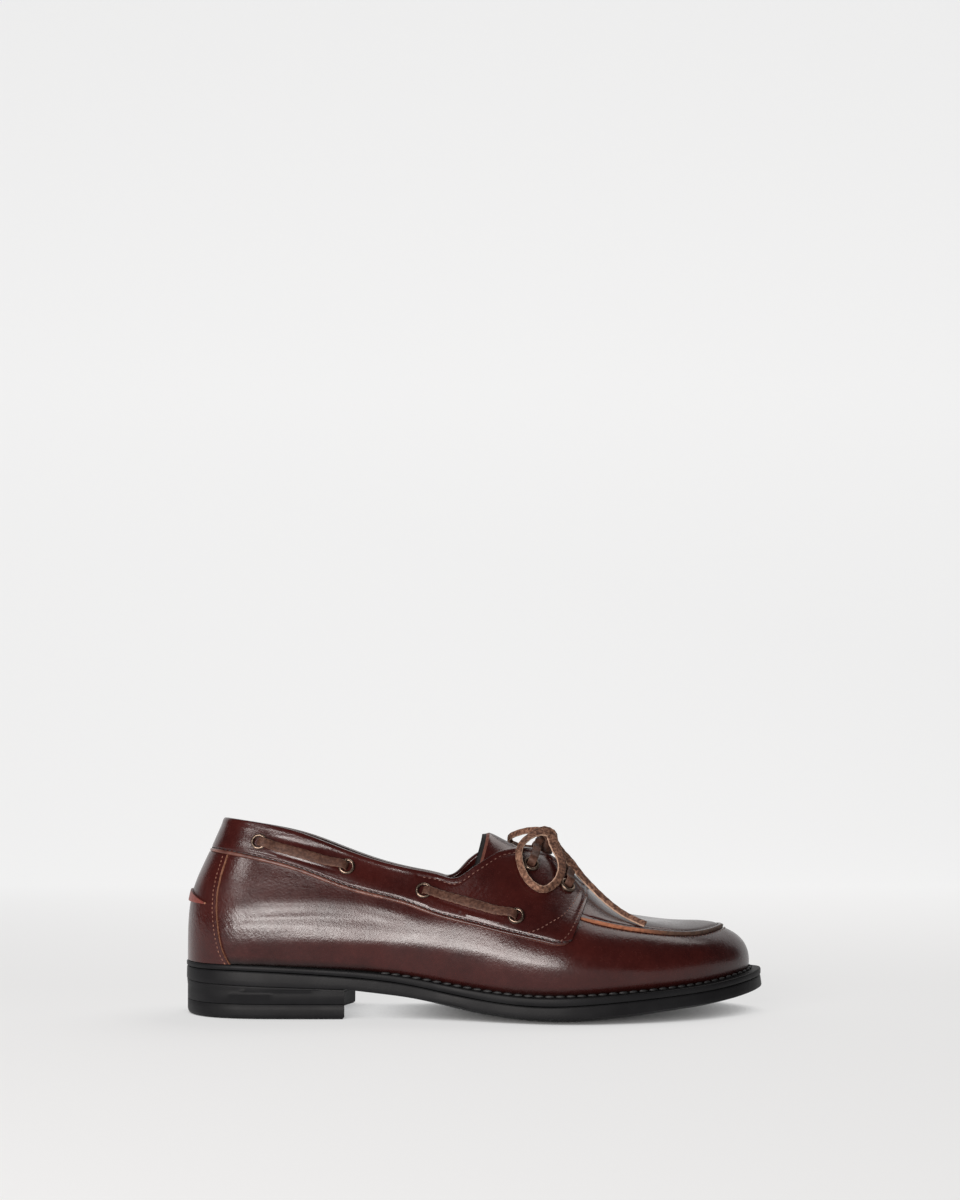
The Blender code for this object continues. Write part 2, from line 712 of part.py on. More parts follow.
TAB_LIFT = BAND_FACE + FIT_GAP
TAB_THICK = 1.4
TAB_HALF = 20.5  # half width of the leaf
TAB_HEIGHT = 5.2
TAB_MIDDLE = 59.5
TAB_DROOP = 2.5


def build_heel_tab():
    """Small leaf-shaped reinforcement that wraps round the back strap."""
    upper_edge, lower_edge = [], []
    for i in range(11):
        share = i / 5 - 1
        middle = TAB_MIDDLE - TAB_DROOP * share**2
        half = TAB_HEIGHT / 2 * (1 - share**2) + 0.4
        upper_edge.append((TAB_HALF * share, middle + half))
        lower_edge.append((TAB_HALF * share, middle - half))
    outline = [(-BEYOND, y, z) for y, z in lower_edge + upper_edge[::-1]]
    area = prism("area_heel_tab", outline, (70, 0, 0))
    under_tab = add_object("form_under_tab", last_form("form_under_tab", TAB_LIFT, drop=8.0), None)
    tab = add_object("heel_tab", last_form("heel_tab", TAB_LIFT + TAB_THICK), raw_edge)
    boolean(tab, "DIFFERENCE", under_tab)
    boolean(tab, "INTERSECT", area)
    return tab


# ---------------------------------------------------------------- tongue

TONGUE_HALF = 24.0
TONGUE_TOP = 8.2  # x of its top edge on the spine
TONGUE_SKEW = -0.095
TONGUE_ROUND = -0.01325
TONGUE_FRONT = 66.0
TONGUE_LIFT = -(WALL + 1.3)
TONGUE_SINK = ((4, 0.4), (15.5, 0.4), (24, 2.6), (34, 3.4), (46, 3.0), (57, 0.6), (TONGUE_FRONT, 0.0))
tongue_sink = spline(TONGUE_SINK)


def tongue_point(x, y, depth):
    point, normal = over(x, y, TONGUE_LIFT)
    hollow = max(1 - (y / (0.75 * TONGUE_HALF)) ** 2, 0.0) ** 2
    return point - (0, 0, tongue_sink(x) * hollow) - normal * depth


def build_tongue():
    columns, rows = 12, 10
    bm = bmesh.new()
    sheets = []
    for depth in (0.0, TONGUE_THICK):
        sheet = []
        for i in range(columns + 1):
            y = TONGUE_HALF * (2 * i / columns - 1)
            back = TONGUE_TOP + TONGUE_SKEW * y + TONGUE_ROUND * y * y
            xs = [back + (TONGUE_FRONT - back) * j / rows for j in range(rows + 1)]
            sheet.append([bm.verts.new(Vector(tongue_point(x, y, depth)) * MM) for x in xs])
        sheets.append(sheet)
    top, bottom = sheets
    for i in range(columns):
        for j in range(rows):
            bm.faces.new((top[i][j], top[i + 1][j], top[i + 1][j + 1], top[i][j + 1]))
            bm.faces.new((bottom[i][j], bottom[i][j + 1], bottom[i + 1][j + 1], bottom[i + 1][j]))
        for j in (0, rows):
            bm.faces.new((top[i][j], top[i + 1][j], bottom[i + 1][j], bottom[i][j]))
    for j in range(rows):
        for i in (0, columns):
            bm.faces.new((top[i][j], top[i][j + 1], bottom[i][j + 1], bottom[i][j]))
    return add_object("tongue", bm, oxblood)


# ---------------------------------------------------------------- eyelets and lace

EYELET_BORE = 2.65
BARREL = 3.05
FLANGE = 4.15
EYELET_SECTION = (
    (EYELET_BORE, -3.5), (BARREL, -3.5), (BARREL, 0.0), (FLANGE, 0.0), (FLANGE - 0.4, 0.9), (EYELET_BORE, 0.9),
)
EYELET_SEGMENTS = 9
LACE_WIDTH = 4.2
LACE_THICK = 1.6


def build_eyelets():
    for name, (point, normal) in EYELETS.items():
        bm = bmesh.new()
        verts = [bm.verts.new((r * MM, 0, z * MM)) for r, z in EYELET_SECTION]
        edges = [bm.edges.new((a, b)) for a, b in zip(verts, verts[1:] + verts[:1])]
        bmesh.ops.spin(
            bm, geom=edges, cent=(0, 0, 0), axis=(0, 0, 1), angle=2 * math.pi,
            steps=EYELET_SEGMENTS, use_merge=True,
        )
        bmesh.ops.remove_doubles(bm, verts=bm.verts, dist=1e-6)
        bmesh.ops.transform(bm, matrix=frame_at(point, normal), verts=bm.verts)
        add_object(name, bm, brass)


def through(points, steps):
    """Smooth curve through a list of points, with a number of steps between each two."""
    p = np.array(points, float)
    knots = np.concatenate([[0], np.cumsum(np.linalg.norm(np.diff(p, axis=0), axis=1) ** 0.5)])
    axes = [spline(list(zip(knots, p[:, k]))) for k in range(3)]
    values = []
    for a, b in zip(knots, knots[1:]):
        values += [a + (b - a) * i / steps for i in range(steps)]
    return np.array([[axis(q) for axis in axes] for q in values + [knots[-1]]])


def between(values, steps):
    """Values at the same steps as through(), straight from one to the next."""
    v = np.array(values, float)
    places = np.arange((len(v) - 1) * steps + 1) / steps
    return np.array([[np.interp(q, range(len(v)), v[:, k]) for k in range(3)] for q in places])


def flat_lace(name, points, faces_towards, steps=1):
    """Closed flat lace along a path; faces_towards gives the direction its broad side looks at each point."""
    path = through(points, steps)
    towards = between(faces_towards, steps)
    bm = bmesh.new()
    loops = []
    for i, point in enumerate(path):
        along = path[min(i + 1, len(path) - 1)] - path[max(i - 1, 0)]
        wide = np.cross(along, towards[i])
        wide /= np.linalg.norm(wide)
        thick = np.cross(wide, along)
        thick /= np.linalg.norm(thick)
        section = ((0.5, 0.0), (0.36, 0.5), (-0.36, 0.5), (-0.5, 0.0), (-0.36, -0.5), (0.36, -0.5))
        corners = [point + wide * w * LACE_WIDTH + thick * h * LACE_THICK for w, h in section]
        loops.append([bm.verts.new(Vector(c) * MM) for c in corners])
    for a, b in zip(loops, loops[1:]):
        for k in range(6):
            n = (k + 1) % 6
            bm.faces.new((a[k], a[n], b[n], b[k]))
    bm.faces.new(loops[0])
    bm.faces.new(loops[-1])
    return add_object(name, bm, rawhide)


LACE_LIFT = BAND_FACE + 0.4 + LACE_THICK / 2  # of a lace's middle that lies on the band
LACE_EXIT = ((0.0, -1.5), (0.1, 0.6), (1.0, 2.1), (3.2, 2.65))  # out of an eyelet: along the leather, and up


def out_of_eyelet(name, goal):
    """Points of a lace that leaves an eyelet towards a goal, and the way its broad side looks at each."""
    point, normal = EYELETS[name]
    along = np.array(goal) - point
    along -= normal * np.dot(along, normal)
    along /= np.linalg.norm(along)
    points = [point + along * run + normal * rise for run, rise in LACE_EXIT]
    return points, [-along, normal * 0.4 - along, normal - along * 0.5, normal]


def joined(first, middle, last):
    """A run of lace from one eyelet to another, with the points on the way between them."""
    points, faces = (a + b + c[::-1] for a, b, c in zip(first, middle, last))
    return points, faces


def build_thongs():
    """The lace that shows between the first two and the last two side eyelets on each side."""
    for side, word in ((LATERAL, "lateral"), (MEDIAL, "medial")):
        drop = MEDIAL_DROP if side == MEDIAL else 0.0
        for first, part in ((0, "rear"), (2, "front")):
            (x0, z0), (x1, z1) = SIDE_EYELETS[first], SIDE_EYELETS[first + 1]
            start, end = (f"eyelet_{word}_{first + n}" for n in (1, 2))
            shares = (0.2, 0.35, 0.5, 0.65, 0.8)
            places = [seat(side, x0 + (x1 - x0) * s, z0 + (z1 - z0) * s - drop, LACE_LIFT) for s in shares]
            middle = [point for point, _ in places], [normal for _, normal in places]
            run = joined(out_of_eyelet(start, EYELETS[end][0]), middle, out_of_eyelet(end, EYELETS[start][0]))
            flat_lace(f"thong_{word}_{part}", *run)


# Where the laces from the throat eyelets pass over the facings, in plan, and then the span between them.
BAR_OVER = ((45.6, -17.0), (45.4, -13.5), (45.4, -9.8))
BAR_SPAN = ((45.6, -6.0, 76.8), (45.6, 0.0, 76.6), (45.6, 6.0, 76.8))
CROSSING_OVER = ((29.6, -15.2), (30.2, -12.6))
CROSSING_SPAN = ((32.8, -8.0, 87.6), (34.6, -4.0, 88.0), (35.4, 0.0, 88.0), (34.6, 4.0, 88.0), (32.8, 8.0, 87.6))
# The bow: free lace, by hand, from the knot.
LACE_KNOT = ((37.7, -6.4, 91.3), (37.7, -3.0, 91.7), (37.7, 0.4, 91.3))
LACE_LOOP_LATERAL = (
    (38.9, -7.7, 90.1), (41.1, -11.8, 85.5), (43.1, -16.0, 80.4), (43.5, -20.0, 75.4), (41.6, -25.0, 69.8),
    (37.6, -29.6, 65.9), (33.0, -33.4, 64.5), (27.9, -34.0, 67.0), (23.9, -31.4, 72.0), (21.8, -27.0, 78.2),
    (21.9, -22.5, 83.8), (24.6, -17.5, 88.8), (29.4, -12.0, 92.4), (36.4, -7.7, 92.8),
)
LACE_LOOP_MEDIAL = (
    (36.4, 1.7, 92.9), (29.5, 5.0, 93.8), (22.0, 10.0, 92.2), (18.0, 16.5, 89.4), (19.6, 24.0, 86.2),
    (25.4, 30.6, 83.8), (32.5, 31.0, 83.2), (37.4, 23.0, 84.6), (39.2, 12.0, 87.6), (38.9, 1.7, 90.2),
)
LACE_END_LATERAL = (
    (39.9, -4.2, 88.9), (43.2, -6.2, 83.8), (47.9, -9.2, 78.7), (53.1, -12.0, 71.6), (58.4, -15.0, 65.4),
    (64.0, -18.0, 59.6), (70.0, -22.0, 54.5), (76.5, -26.0, 50.4), (84.3, -30.0, 47.0),
)
LACE_END_MEDIAL = (
    (40.1, -0.6, 88.8), (44.0, 6.5, 83.6), (48.4, 13.5, 78.6), (52.6, 20.0, 72.8), (56.6, 25.4, 66.8), (60.4, 30.2, 60.8),
    (64.0, 34.4, 55.0),
)
CORD_RADIUS = 0.95
KNOT_RADIUS = 2.6


def build_throat_lace(name, number, over_facing, span, looks):
    """A lace from one throat eyelet over both facings to its partner on the other side."""
    halves = []
    for side, word in ((LATERAL, "lateral"), (MEDIAL, "medial")):
        places = [over(x, -side * y, LACE_LIFT) for x, y in over_facing]
        points, faces = out_of_eyelet(f"eyelet_throat_{word}_{number}", places[0][0])
        halves.append((points + [p for p, _ in places], faces + [n for _, n in places]))
    middle = [np.array(p) for p in span], [np.array(looks)] * len(span)
    flat_lace(name, *joined(halves[0], middle, halves[1]))


def cord(name, points, radius):
    """Free lace as a round tube of about the lace's size."""
    curve = bpy.data.curves.new(name, "CURVE")
    curve.dimensions = "3D"
    curve.bevel_depth = radius * MM
    curve.bevel_resolution = 2
    curve.use_fill_caps = True
    line = curve.splines.new("POLY")
    line.points.add(len(points) - 1)
    for knot, point in zip(line.points, points):
        knot.co = (*(Vector(point) * MM), 1)
    curve.materials.append(rawhide)
    obj = bpy.data.objects.new(name, curve)
    bpy.context.scene.collection.objects.link(obj)
    return obj


def build_lace():
    build_thongs()
    build_throat_lace("lace_bar", 2, BAR_OVER, BAR_SPAN, (0.6, 0, 0.8))
    build_throat_lace("lace_crossing", 1, CROSSING_OVER, CROSSING_SPAN, (0.3, 0, 1))
    cord("lace_knot", LACE_KNOT, KNOT_RADIUS)
    cord("lace_loop_lateral", LACE_LOOP_LATERAL, CORD_RADIUS)
    cord("lace_loop_medial", LACE_LOOP_MEDIAL, CORD_RADIUS)
    cord("lace_end_lateral", LACE_END_LATERAL, CORD_RADIUS)
    cord("lace_end_medial", LACE_END_MEDIAL, CORD_RADIUS)


build_upper()
build_collar_band()
build_back_strap()
build_heel_tab()
build_tongue()
build_eyelets()
build_lace()
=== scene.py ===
"""A right-foot loafer in oxblood leather on a black rubber sole, laced with brown rawhide.

The file follows the shoe as it is put together: sole, heel, welt, upper, overlays, tongue, eyelets, lace,
stitching, and then the studio. Sizes are in millimetres until a piece's points are placed.
"""

import json
import math

import bmesh
import bpy
import numpy as np
from mathutils import Matrix, Vector
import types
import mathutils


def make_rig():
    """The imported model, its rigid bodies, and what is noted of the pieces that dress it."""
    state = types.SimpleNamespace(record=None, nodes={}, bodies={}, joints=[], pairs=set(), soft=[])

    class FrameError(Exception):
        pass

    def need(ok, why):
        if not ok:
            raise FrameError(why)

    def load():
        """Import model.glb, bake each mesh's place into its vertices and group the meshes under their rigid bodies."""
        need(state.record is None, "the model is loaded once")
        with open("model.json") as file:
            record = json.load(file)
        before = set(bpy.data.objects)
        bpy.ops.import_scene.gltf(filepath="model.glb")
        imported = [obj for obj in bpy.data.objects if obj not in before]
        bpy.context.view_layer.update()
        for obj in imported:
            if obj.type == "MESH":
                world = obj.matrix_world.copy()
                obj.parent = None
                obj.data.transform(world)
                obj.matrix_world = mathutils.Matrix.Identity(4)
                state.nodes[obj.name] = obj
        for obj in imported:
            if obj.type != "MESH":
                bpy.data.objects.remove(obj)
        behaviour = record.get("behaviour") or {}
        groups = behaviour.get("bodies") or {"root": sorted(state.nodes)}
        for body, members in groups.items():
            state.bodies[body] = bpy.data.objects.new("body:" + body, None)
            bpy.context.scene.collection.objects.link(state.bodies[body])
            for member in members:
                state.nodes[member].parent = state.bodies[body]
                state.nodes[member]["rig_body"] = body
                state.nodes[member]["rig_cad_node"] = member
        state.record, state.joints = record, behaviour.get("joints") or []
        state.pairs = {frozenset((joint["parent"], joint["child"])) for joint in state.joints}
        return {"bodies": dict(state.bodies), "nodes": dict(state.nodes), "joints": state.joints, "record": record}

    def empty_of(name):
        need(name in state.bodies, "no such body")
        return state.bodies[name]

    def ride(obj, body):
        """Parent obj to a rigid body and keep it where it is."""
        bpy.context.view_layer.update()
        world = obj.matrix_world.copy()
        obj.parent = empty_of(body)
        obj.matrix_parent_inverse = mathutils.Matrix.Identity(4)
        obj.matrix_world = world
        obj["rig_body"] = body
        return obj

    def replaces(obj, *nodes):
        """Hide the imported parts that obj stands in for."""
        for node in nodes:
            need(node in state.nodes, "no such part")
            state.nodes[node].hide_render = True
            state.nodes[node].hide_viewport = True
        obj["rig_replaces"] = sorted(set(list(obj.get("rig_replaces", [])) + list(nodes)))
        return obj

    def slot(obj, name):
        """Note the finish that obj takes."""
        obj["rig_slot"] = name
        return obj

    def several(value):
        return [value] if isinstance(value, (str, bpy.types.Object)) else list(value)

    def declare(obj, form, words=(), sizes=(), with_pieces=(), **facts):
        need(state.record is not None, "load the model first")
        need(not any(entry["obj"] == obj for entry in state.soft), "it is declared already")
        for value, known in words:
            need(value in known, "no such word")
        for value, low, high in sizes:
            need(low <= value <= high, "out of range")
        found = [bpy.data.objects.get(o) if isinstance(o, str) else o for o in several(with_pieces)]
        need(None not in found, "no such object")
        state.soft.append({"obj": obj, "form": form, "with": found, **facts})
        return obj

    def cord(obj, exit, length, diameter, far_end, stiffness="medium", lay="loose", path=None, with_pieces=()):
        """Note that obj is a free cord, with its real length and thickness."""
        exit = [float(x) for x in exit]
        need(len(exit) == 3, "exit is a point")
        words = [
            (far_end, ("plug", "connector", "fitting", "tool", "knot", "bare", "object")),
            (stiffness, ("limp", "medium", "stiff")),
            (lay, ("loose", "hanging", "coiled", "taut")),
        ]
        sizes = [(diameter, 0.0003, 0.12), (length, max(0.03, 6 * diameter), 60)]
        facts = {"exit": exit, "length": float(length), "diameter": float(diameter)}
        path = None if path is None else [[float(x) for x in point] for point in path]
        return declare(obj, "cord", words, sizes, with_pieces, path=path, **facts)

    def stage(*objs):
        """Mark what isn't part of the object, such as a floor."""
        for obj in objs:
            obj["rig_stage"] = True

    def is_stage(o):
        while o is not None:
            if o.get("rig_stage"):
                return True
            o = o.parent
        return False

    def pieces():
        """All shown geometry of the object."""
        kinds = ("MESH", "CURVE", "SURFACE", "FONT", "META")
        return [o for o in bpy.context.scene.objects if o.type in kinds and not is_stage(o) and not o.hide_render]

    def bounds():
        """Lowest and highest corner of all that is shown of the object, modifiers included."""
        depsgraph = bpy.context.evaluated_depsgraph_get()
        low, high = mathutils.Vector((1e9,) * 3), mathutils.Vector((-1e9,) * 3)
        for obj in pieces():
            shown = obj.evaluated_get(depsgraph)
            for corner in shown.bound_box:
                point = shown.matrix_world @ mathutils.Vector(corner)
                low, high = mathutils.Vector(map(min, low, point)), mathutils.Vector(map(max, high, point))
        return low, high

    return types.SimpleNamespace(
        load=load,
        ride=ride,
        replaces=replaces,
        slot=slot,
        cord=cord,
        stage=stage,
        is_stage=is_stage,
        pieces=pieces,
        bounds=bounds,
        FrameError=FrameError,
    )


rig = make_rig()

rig.load()
cad_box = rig.bounds()


# ---------------------------------------------------------------- outsole
# The outsole is one moulding of black rubber that runs the whole length of the shoe. It is crowned a
# little underneath, with a flat spot at the ball, and its lower edge stands out slightly at the toe.

MM = 0.001
FIT_GAP = 0.3
LENGTH = 299.4
TOE_FLARE = 0.5
BACK_X = -LENGTH / 2
TOE_X = LENGTH / 2 - TOE_FLARE
HEEL_BREAST = -64.8
HEEL_SEAM = 17.6
CROWN = 3.15

LATERAL_EDGE = (
    (BACK_X, 0.0), (-146.3, -13.5), (-137.0, -24.5), (-121.0, -31.3), (-95.0, -33.6), (-60.0, -33.6),
    (-30.0, -34.8), (-5.0, -40.0), (18.0, -47.2), (40.0, -51.5), (58.0, -51.4), (80.0, -47.7),
    (102.0, -40.6), (122.0, -29.8), (137.0, -16.6), (145.4, -4.5), (TOE_X, 8.5),
)
MEDIAL_EDGE = (
    (BACK_X, 0.0), (-146.3, 12.5), (-137.0, 22.8), (-121.0, 29.8), (-95.0, 31.8), (-65.0, 29.3),
    (-38.0, 27.4), (-15.0, 30.5), (8.0, 38.5), (30.0, 46.6), (52.0, 51.4), (72.0, 51.6), (92.0, 49.5),
    (111.0, 44.8), (127.0, 37.0), (139.0, 27.5), (146.6, 18.0), (TOE_X, 8.5),
)
WELT_TOP = (
    (BACK_X, 26.8), (-115, 26.6), (-88, 25.5), (-60, 23.8), (-38, 21.5), (-13, 17.2), (12, 13.8),
    (35, 12.8), (54.5, 13.5), (75, 14.7), (101, 16.4), (117, 17.7), (129, 19.1), (141, 20.7), (TOE_X, 21.8),
)
WELT_THICKNESS = ((BACK_X, 2.5), (-80, 2.8), (-20, 3.6), (40, 4.0), (100, 3.3), (TOE_X, 3.4))
SOLE_RIM = (
    (-64.8, 14.8), (-48, 12.8), (-35, 11.2), (-13, 7.6), (2, 5.1), (12, 4.0), (23, 3.2), (35, 2.8),
    (45, 2.85), (62, 3.8), (82, 5.4), (101, 7.2), (120, 8.6), (135, 10.3), (TOE_X, 12.5),
)


def spline(points, flat_end=False):
    """Cubic spline through (x, y) points, straight at its ends, or level at its last end."""
    xs, ys = (np.array(c, float) for c in zip(*points))
    gaps = np.diff(xs)
    slopes = np.diff(ys) / gaps
    count = len(xs)
    system, right = np.zeros((count, count)), np.zeros(count)
    system[0, 0] = system[-1, -1] = 1
    for i in range(1, count - 1):
        system[i, i - 1 : i + 2] = gaps[i - 1], 2 * (gaps[i - 1] + gaps[i]), gaps[i]
        right[i] = 6 * (slopes[i] - slopes[i - 1])
    if flat_end:
        system[-1, -2:] = gaps[-1], 2 * gaps[-1]
        right[-1] = -6 * slopes[-1]
    bend = np.linalg.solve(system, right)

    def value(x):
        x = np.clip(x, xs[0], xs[-1])
        i = np.clip(np.searchsorted(xs, x) - 1, 0, count - 2)
        a, b, gap = x - xs[i], xs[i + 1] - x, gaps[i]
        curve = (bend[i] * b**3 + bend[i + 1] * a**3) / (6 * gap)
        return curve + (ys[i] / gap - bend[i] * gap / 6) * b + (ys[i + 1] / gap - bend[i + 1] * gap / 6) * a

    return value


def closed_spline(points):
    """Closed cubic spline through plan points: the parameter of each point, and the curve."""
    p = np.array(points, float)
    count = len(p)
    gaps = np.linalg.norm(np.roll(p, -1, 0) - p, axis=1) ** 0.75
    knots = np.concatenate([[0], np.cumsum(gaps)])
    system, right = np.zeros((count, count)), np.zeros((count, 2))
    for i in range(count):
        before, after, following = gaps[i - 1], gaps[i], (i + 1) % count
        system[i, i - 1] += before
        system[i, i] += 2 * (before + after)
        system[i, following] += after
        right[i] = 6 * ((p[following] - p[i]) / after - (p[i] - p[i - 1]) / before)
    bend = np.linalg.solve(system, right)

    def value(q):
        q = np.atleast_1d(q) % knots[-1]
        i = np.clip(np.searchsorted(knots, q, side="right") - 1, 0, count - 1)
        j = (i + 1) % count
        a, b, gap = (q - knots[i])[:, None], (knots[i + 1] - q)[:, None], gaps[i][:, None]
        curve = (bend[i] * b**3 + bend[j] * a**3) / (6 * gap)
        return curve + (p[i] / gap - bend[i] * gap / 6) * b + (p[j] / gap - bend[j] * gap / 6) * a

    return knots, value


def smooth_step(start, end, x):
    t = np.clip((np.asarray(x, float) - start) / (end - start), 0.0, 1.0)
    return t * t * (3 - 2 * t)


EDGE_KNOTS, edge_curve = closed_spline(LATERAL_EDGE + MEDIAL_EDGE[-2:0:-1])
TOE_KNOT = EDGE_KNOTS[len(LATERAL_EDGE) - 1]
welt_top, welt_thickness, sole_rim = spline(WELT_TOP), spline(WELT_THICKNESS), spline(SOLE_RIM)


def travelled(line):
    """How far along a line of points each of them stands."""
    return np.concatenate([[0], np.cumsum(np.linalg.norm(np.diff(line, axis=0), axis=1))])


def read_at(q, way, line):
    """Points of a line at which its way has the values q."""
    return np.column_stack([np.interp(q, way, column) for column in line.T])


def unit(vectors):
    return vectors / np.linalg.norm(vectors, axis=-1, keepdims=True)


def side_lengths(start, end):
    """Curve parameters from heel to toe and the share of the length that each has covered."""
    q = np.linspace(start, end, 401)
    covered = travelled(edge_curve(q))
    return covered / covered[-1], q


SIDES = (side_lengths(0, TOE_KNOT), side_lengths(EDGE_KNOTS[-1], TOE_KNOT))


def sole_edge(u):
    """Points of the sole's outline and the ways inwards; u runs from the back round the lateral side."""
    u = np.atleast_1d(u) % 1
    t = 1 - np.abs(1 - 2 * u)
    q = np.where(u <= 0.5, np.interp(t, *SIDES[0]), np.interp(t, *SIDES[1]))
    along = unit(edge_curve(q + 1e-3) - edge_curve(q - 1e-3))
    return edge_curve(q), np.stack([-along[:, 1], along[:, 0]], axis=1)


def size_at(size, x):
    """A size that is one number all along the shoe, or a function of x."""
    return np.broadcast_to(size(x) if callable(size) else size, x.shape)


def plus(size, more):
    return lambda x: size(x) + more


def sole_ring(u, inset, height):
    """Points round the sole, at an inset from its outline and a height."""
    point, inward = sole_edge(u)
    x = point[:, 0]
    return np.column_stack([point + inward * size_at(inset, x)[:, None], size_at(height, x)])


def ring_row(inset, height, share=0.0):
    """A row round the sole, moved a share of the way to the middle line, where its sides meet."""
    def row(u):
        ring, other = sole_ring(u, inset, height), sole_ring(1 - u, inset, height)
        return ring + (other - ring) * share / 2

    return row


class Value:
    """One output of a material's nodes. Sums written with it add Math nodes."""

    def __init__(self, finish, output):
        self.finish, self.output = finish, output

    def maths(self, operation, first, second):
        return self.finish.node("Math", {"operation": operation}, {0: first, 1: second})

    def __add__(self, other):
        return self.maths("ADD", self, other)

    def __sub__(self, other):
        return self.maths("SUBTRACT", self, other)

    def __rsub__(self, other):
        return self.maths("SUBTRACT", other, self)

    def __mul__(self, other):
        return self.maths("MULTIPLY", self, other)

    __radd__, __rmul__ = __add__, __mul__


class Finish:
    """A Principled material and the nodes that feed it."""

    def __init__(self, name, **fixed):
        self.material = bpy.data.materials.new(name)
        self.material.use_nodes = True
        self.tree = self.material.node_tree
        self.shader = self.tree.nodes["Principled BSDF"]
        for socket, value in fixed.items():
            self.shader.inputs[socket.replace("_", " ")].default_value = value
        self.place = self.node("TexCoord", out="Object")

    def node(self, kind, settings=(), sockets=(), out=0):
        made = self.tree.nodes.new("ShaderNode" + kind)
        for key, value in dict(settings).items():
            if key == "stops":
                ramp = made.color_ramp.elements
                while len(ramp) < len(value):
                    ramp.new(0.5)
                for stop, (place, colour) in zip(ramp, value):
                    stop.position, stop.color = place, colour
            else:
                setattr(made, key, value)
        for key, value in dict(sockets).items():
            self.feed(made.inputs[key], value)
        return Value(self, made.outputs[out])

    def feed(self, socket, value):
        if isinstance(value, Value):
            self.tree.links.new(value.output, socket)
        else:
            socket.default_value = value

    def noise(self, scale, detail=2.0, rough=0.5, place=None):
        """Soft noise from 0 to 1; scale is in patches per metre."""
        sockets = {"Vector": place or self.place, "Scale": scale, "Detail": detail, "Roughness": rough}
        return self.node("TexNoise", {}, sockets)

    def ramp(self, value, low, high, start=0.0, end=1.0):
        """Straight line from start at low to end at high."""
        sockets = {0: value, 1: low, 2: high, 3: start, 4: end}
        return self.node("MapRange", {}, sockets)

    def blend(self, share, first, second, kind="MIX"):
        sockets = {"Factor": share, 6: first, 7: second}
        return self.node("Mix", {"data_type": "RGBA", "blend_type": kind}, sockets, out=2)

    def shades(self, value, *stops):
        """Colours that a value picks; each stop is its place, then red, green and blue."""
        return self.node("ValToRGB", {"stops": [(at, (*tone, 1)) for at, *tone in stops]}, {"Fac": value})

    def axis(self, k, place=None):
        return self.node("SeparateXYZ", {}, {0: place or self.place}, out=k)

    def colour(self, value):
        self.feed(self.shader.inputs["Base Color"], value)

    def roughness(self, value):
        self.feed(self.shader.inputs["Roughness"], value)

    def relief(self, height, depth, after=None):
        """Bump from a height of 0 to 1, depth in metres."""
        sockets = {"Height": height, "Distance": depth, "Strength": 1.0}
        if after:
            sockets["Normal"] = after
        made = self.node("Bump", {}, sockets)
        self.feed(self.shader.inputs["Normal"], made)
        return made


def moulded(name, columns, rows, place, finishes, slot_of=None, dropped=None, sharp=40):
    """A piece from a grid of faces, whose corners go to place(a, b) with a and b from 0 to 1."""
    bm = bmesh.new()
    bm.loops.layers.uv.new("grid")
    bmesh.ops.create_grid(bm, x_segments=columns, y_segments=rows, size=1, calc_uvs=True)
    middles = [face.calc_center_median() * 0.5 + Vector((0.5, 0.5, 0)) for face in bm.faces]
    gone = []
    for face, middle in zip(bm.faces, middles):
        face.smooth = True
        if slot_of:
            face.material_index = slot_of(middle.x, middle.y)
        if dropped and dropped(middle.x, middle.y):
            gone.append(face)
    grid = np.array([vert.co for vert in bm.verts]) / 2 + 0.5
    for vert, point in zip(bm.verts, place(grid[:, 0], grid[:, 1])):
        vert.co = Vector(point) * MM
    if gone:
        bmesh.ops.delete(bm, geom=gone, context="FACES_KEEP_BOUNDARY")
    bmesh.ops.remove_doubles(bm, verts=bm.verts, dist=2e-6)
    bmesh.ops.dissolve_degenerate(bm, edges=bm.edges, dist=1e-6)
    return finished(name, bm, finishes, sharp)


def finished(name, bm, finishes, sharp=40):
    """Turns a bmesh into an object that rides on the shoe."""
    bmesh.ops.recalc_face_normals(bm, faces=bm.faces)
    mesh = bpy.data.meshes.new(name)
    bm.to_mesh(mesh)
    bm.free()
    for finish in finishes:
        mesh.materials.append(finish.material)
    mesh.set_sharp_from_angle(angle=math.radians(sharp))
    obj = bpy.data.objects.new(name, mesh)
    bpy.context.scene.collection.objects.link(obj)
    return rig.ride(obj, "root")


def row_of(rows, u, b):
    """Places each point of a grid by the row it stands in; rows are functions of u."""
    index = np.rint(b * (len(rows) - 1)).astype(int)
    points = np.zeros((len(u), 3))
    for i, row in enumerate(rows):
        here = index == i
        points[here] = row(u[here])
    return points


def moulded_rows(name, columns, rows, finishes, tread_rows=0, sharp=40):
    """A piece from rows of points round it; the faces between the first few may be tread."""
    last = len(rows) - 1
    return moulded(name, columns, last, lambda a, b: row_of(rows, a, b), finishes,
                   lambda a, b: int(b < tread_rows / last), sharp=sharp)


def stands_for(piece, node, slot):
    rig.replaces(piece, node)
    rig.slot(piece, slot)


rubber = Finish("black_rubber", Specular_IOR_Level=0.09)
rubber.colour(rubber.shades(
    rubber.noise(60, 3), (0.3, 0.0052, 0.0052, 0.0058), (0.75, 0.0098, 0.0098, 0.0106)))
rubber.roughness(rubber.ramp(rubber.noise(45, 4), 0.3, 0.7, 0.40, 0.54))
rubber.relief(rubber.noise(900, 3), 0.00004)

tread = Finish("black_tread", Specular_IOR_Level=0.35)
tread.colour((0.02, 0.0205, 0.022, 1))
tread.roughness(tread.ramp(tread.noise(70, 3), 0.3, 0.7, 0.5, 0.68))
wave = tread.node("TexWave", {"wave_type": "BANDS", "bands_direction": "X", "wave_profile": "TRI"},
                  {"Vector": tread.place, "Scale": 55.0, "Distortion": 0.0})
tread.relief(tread.ramp(wave, 0.2, 0.45), 0.0006)


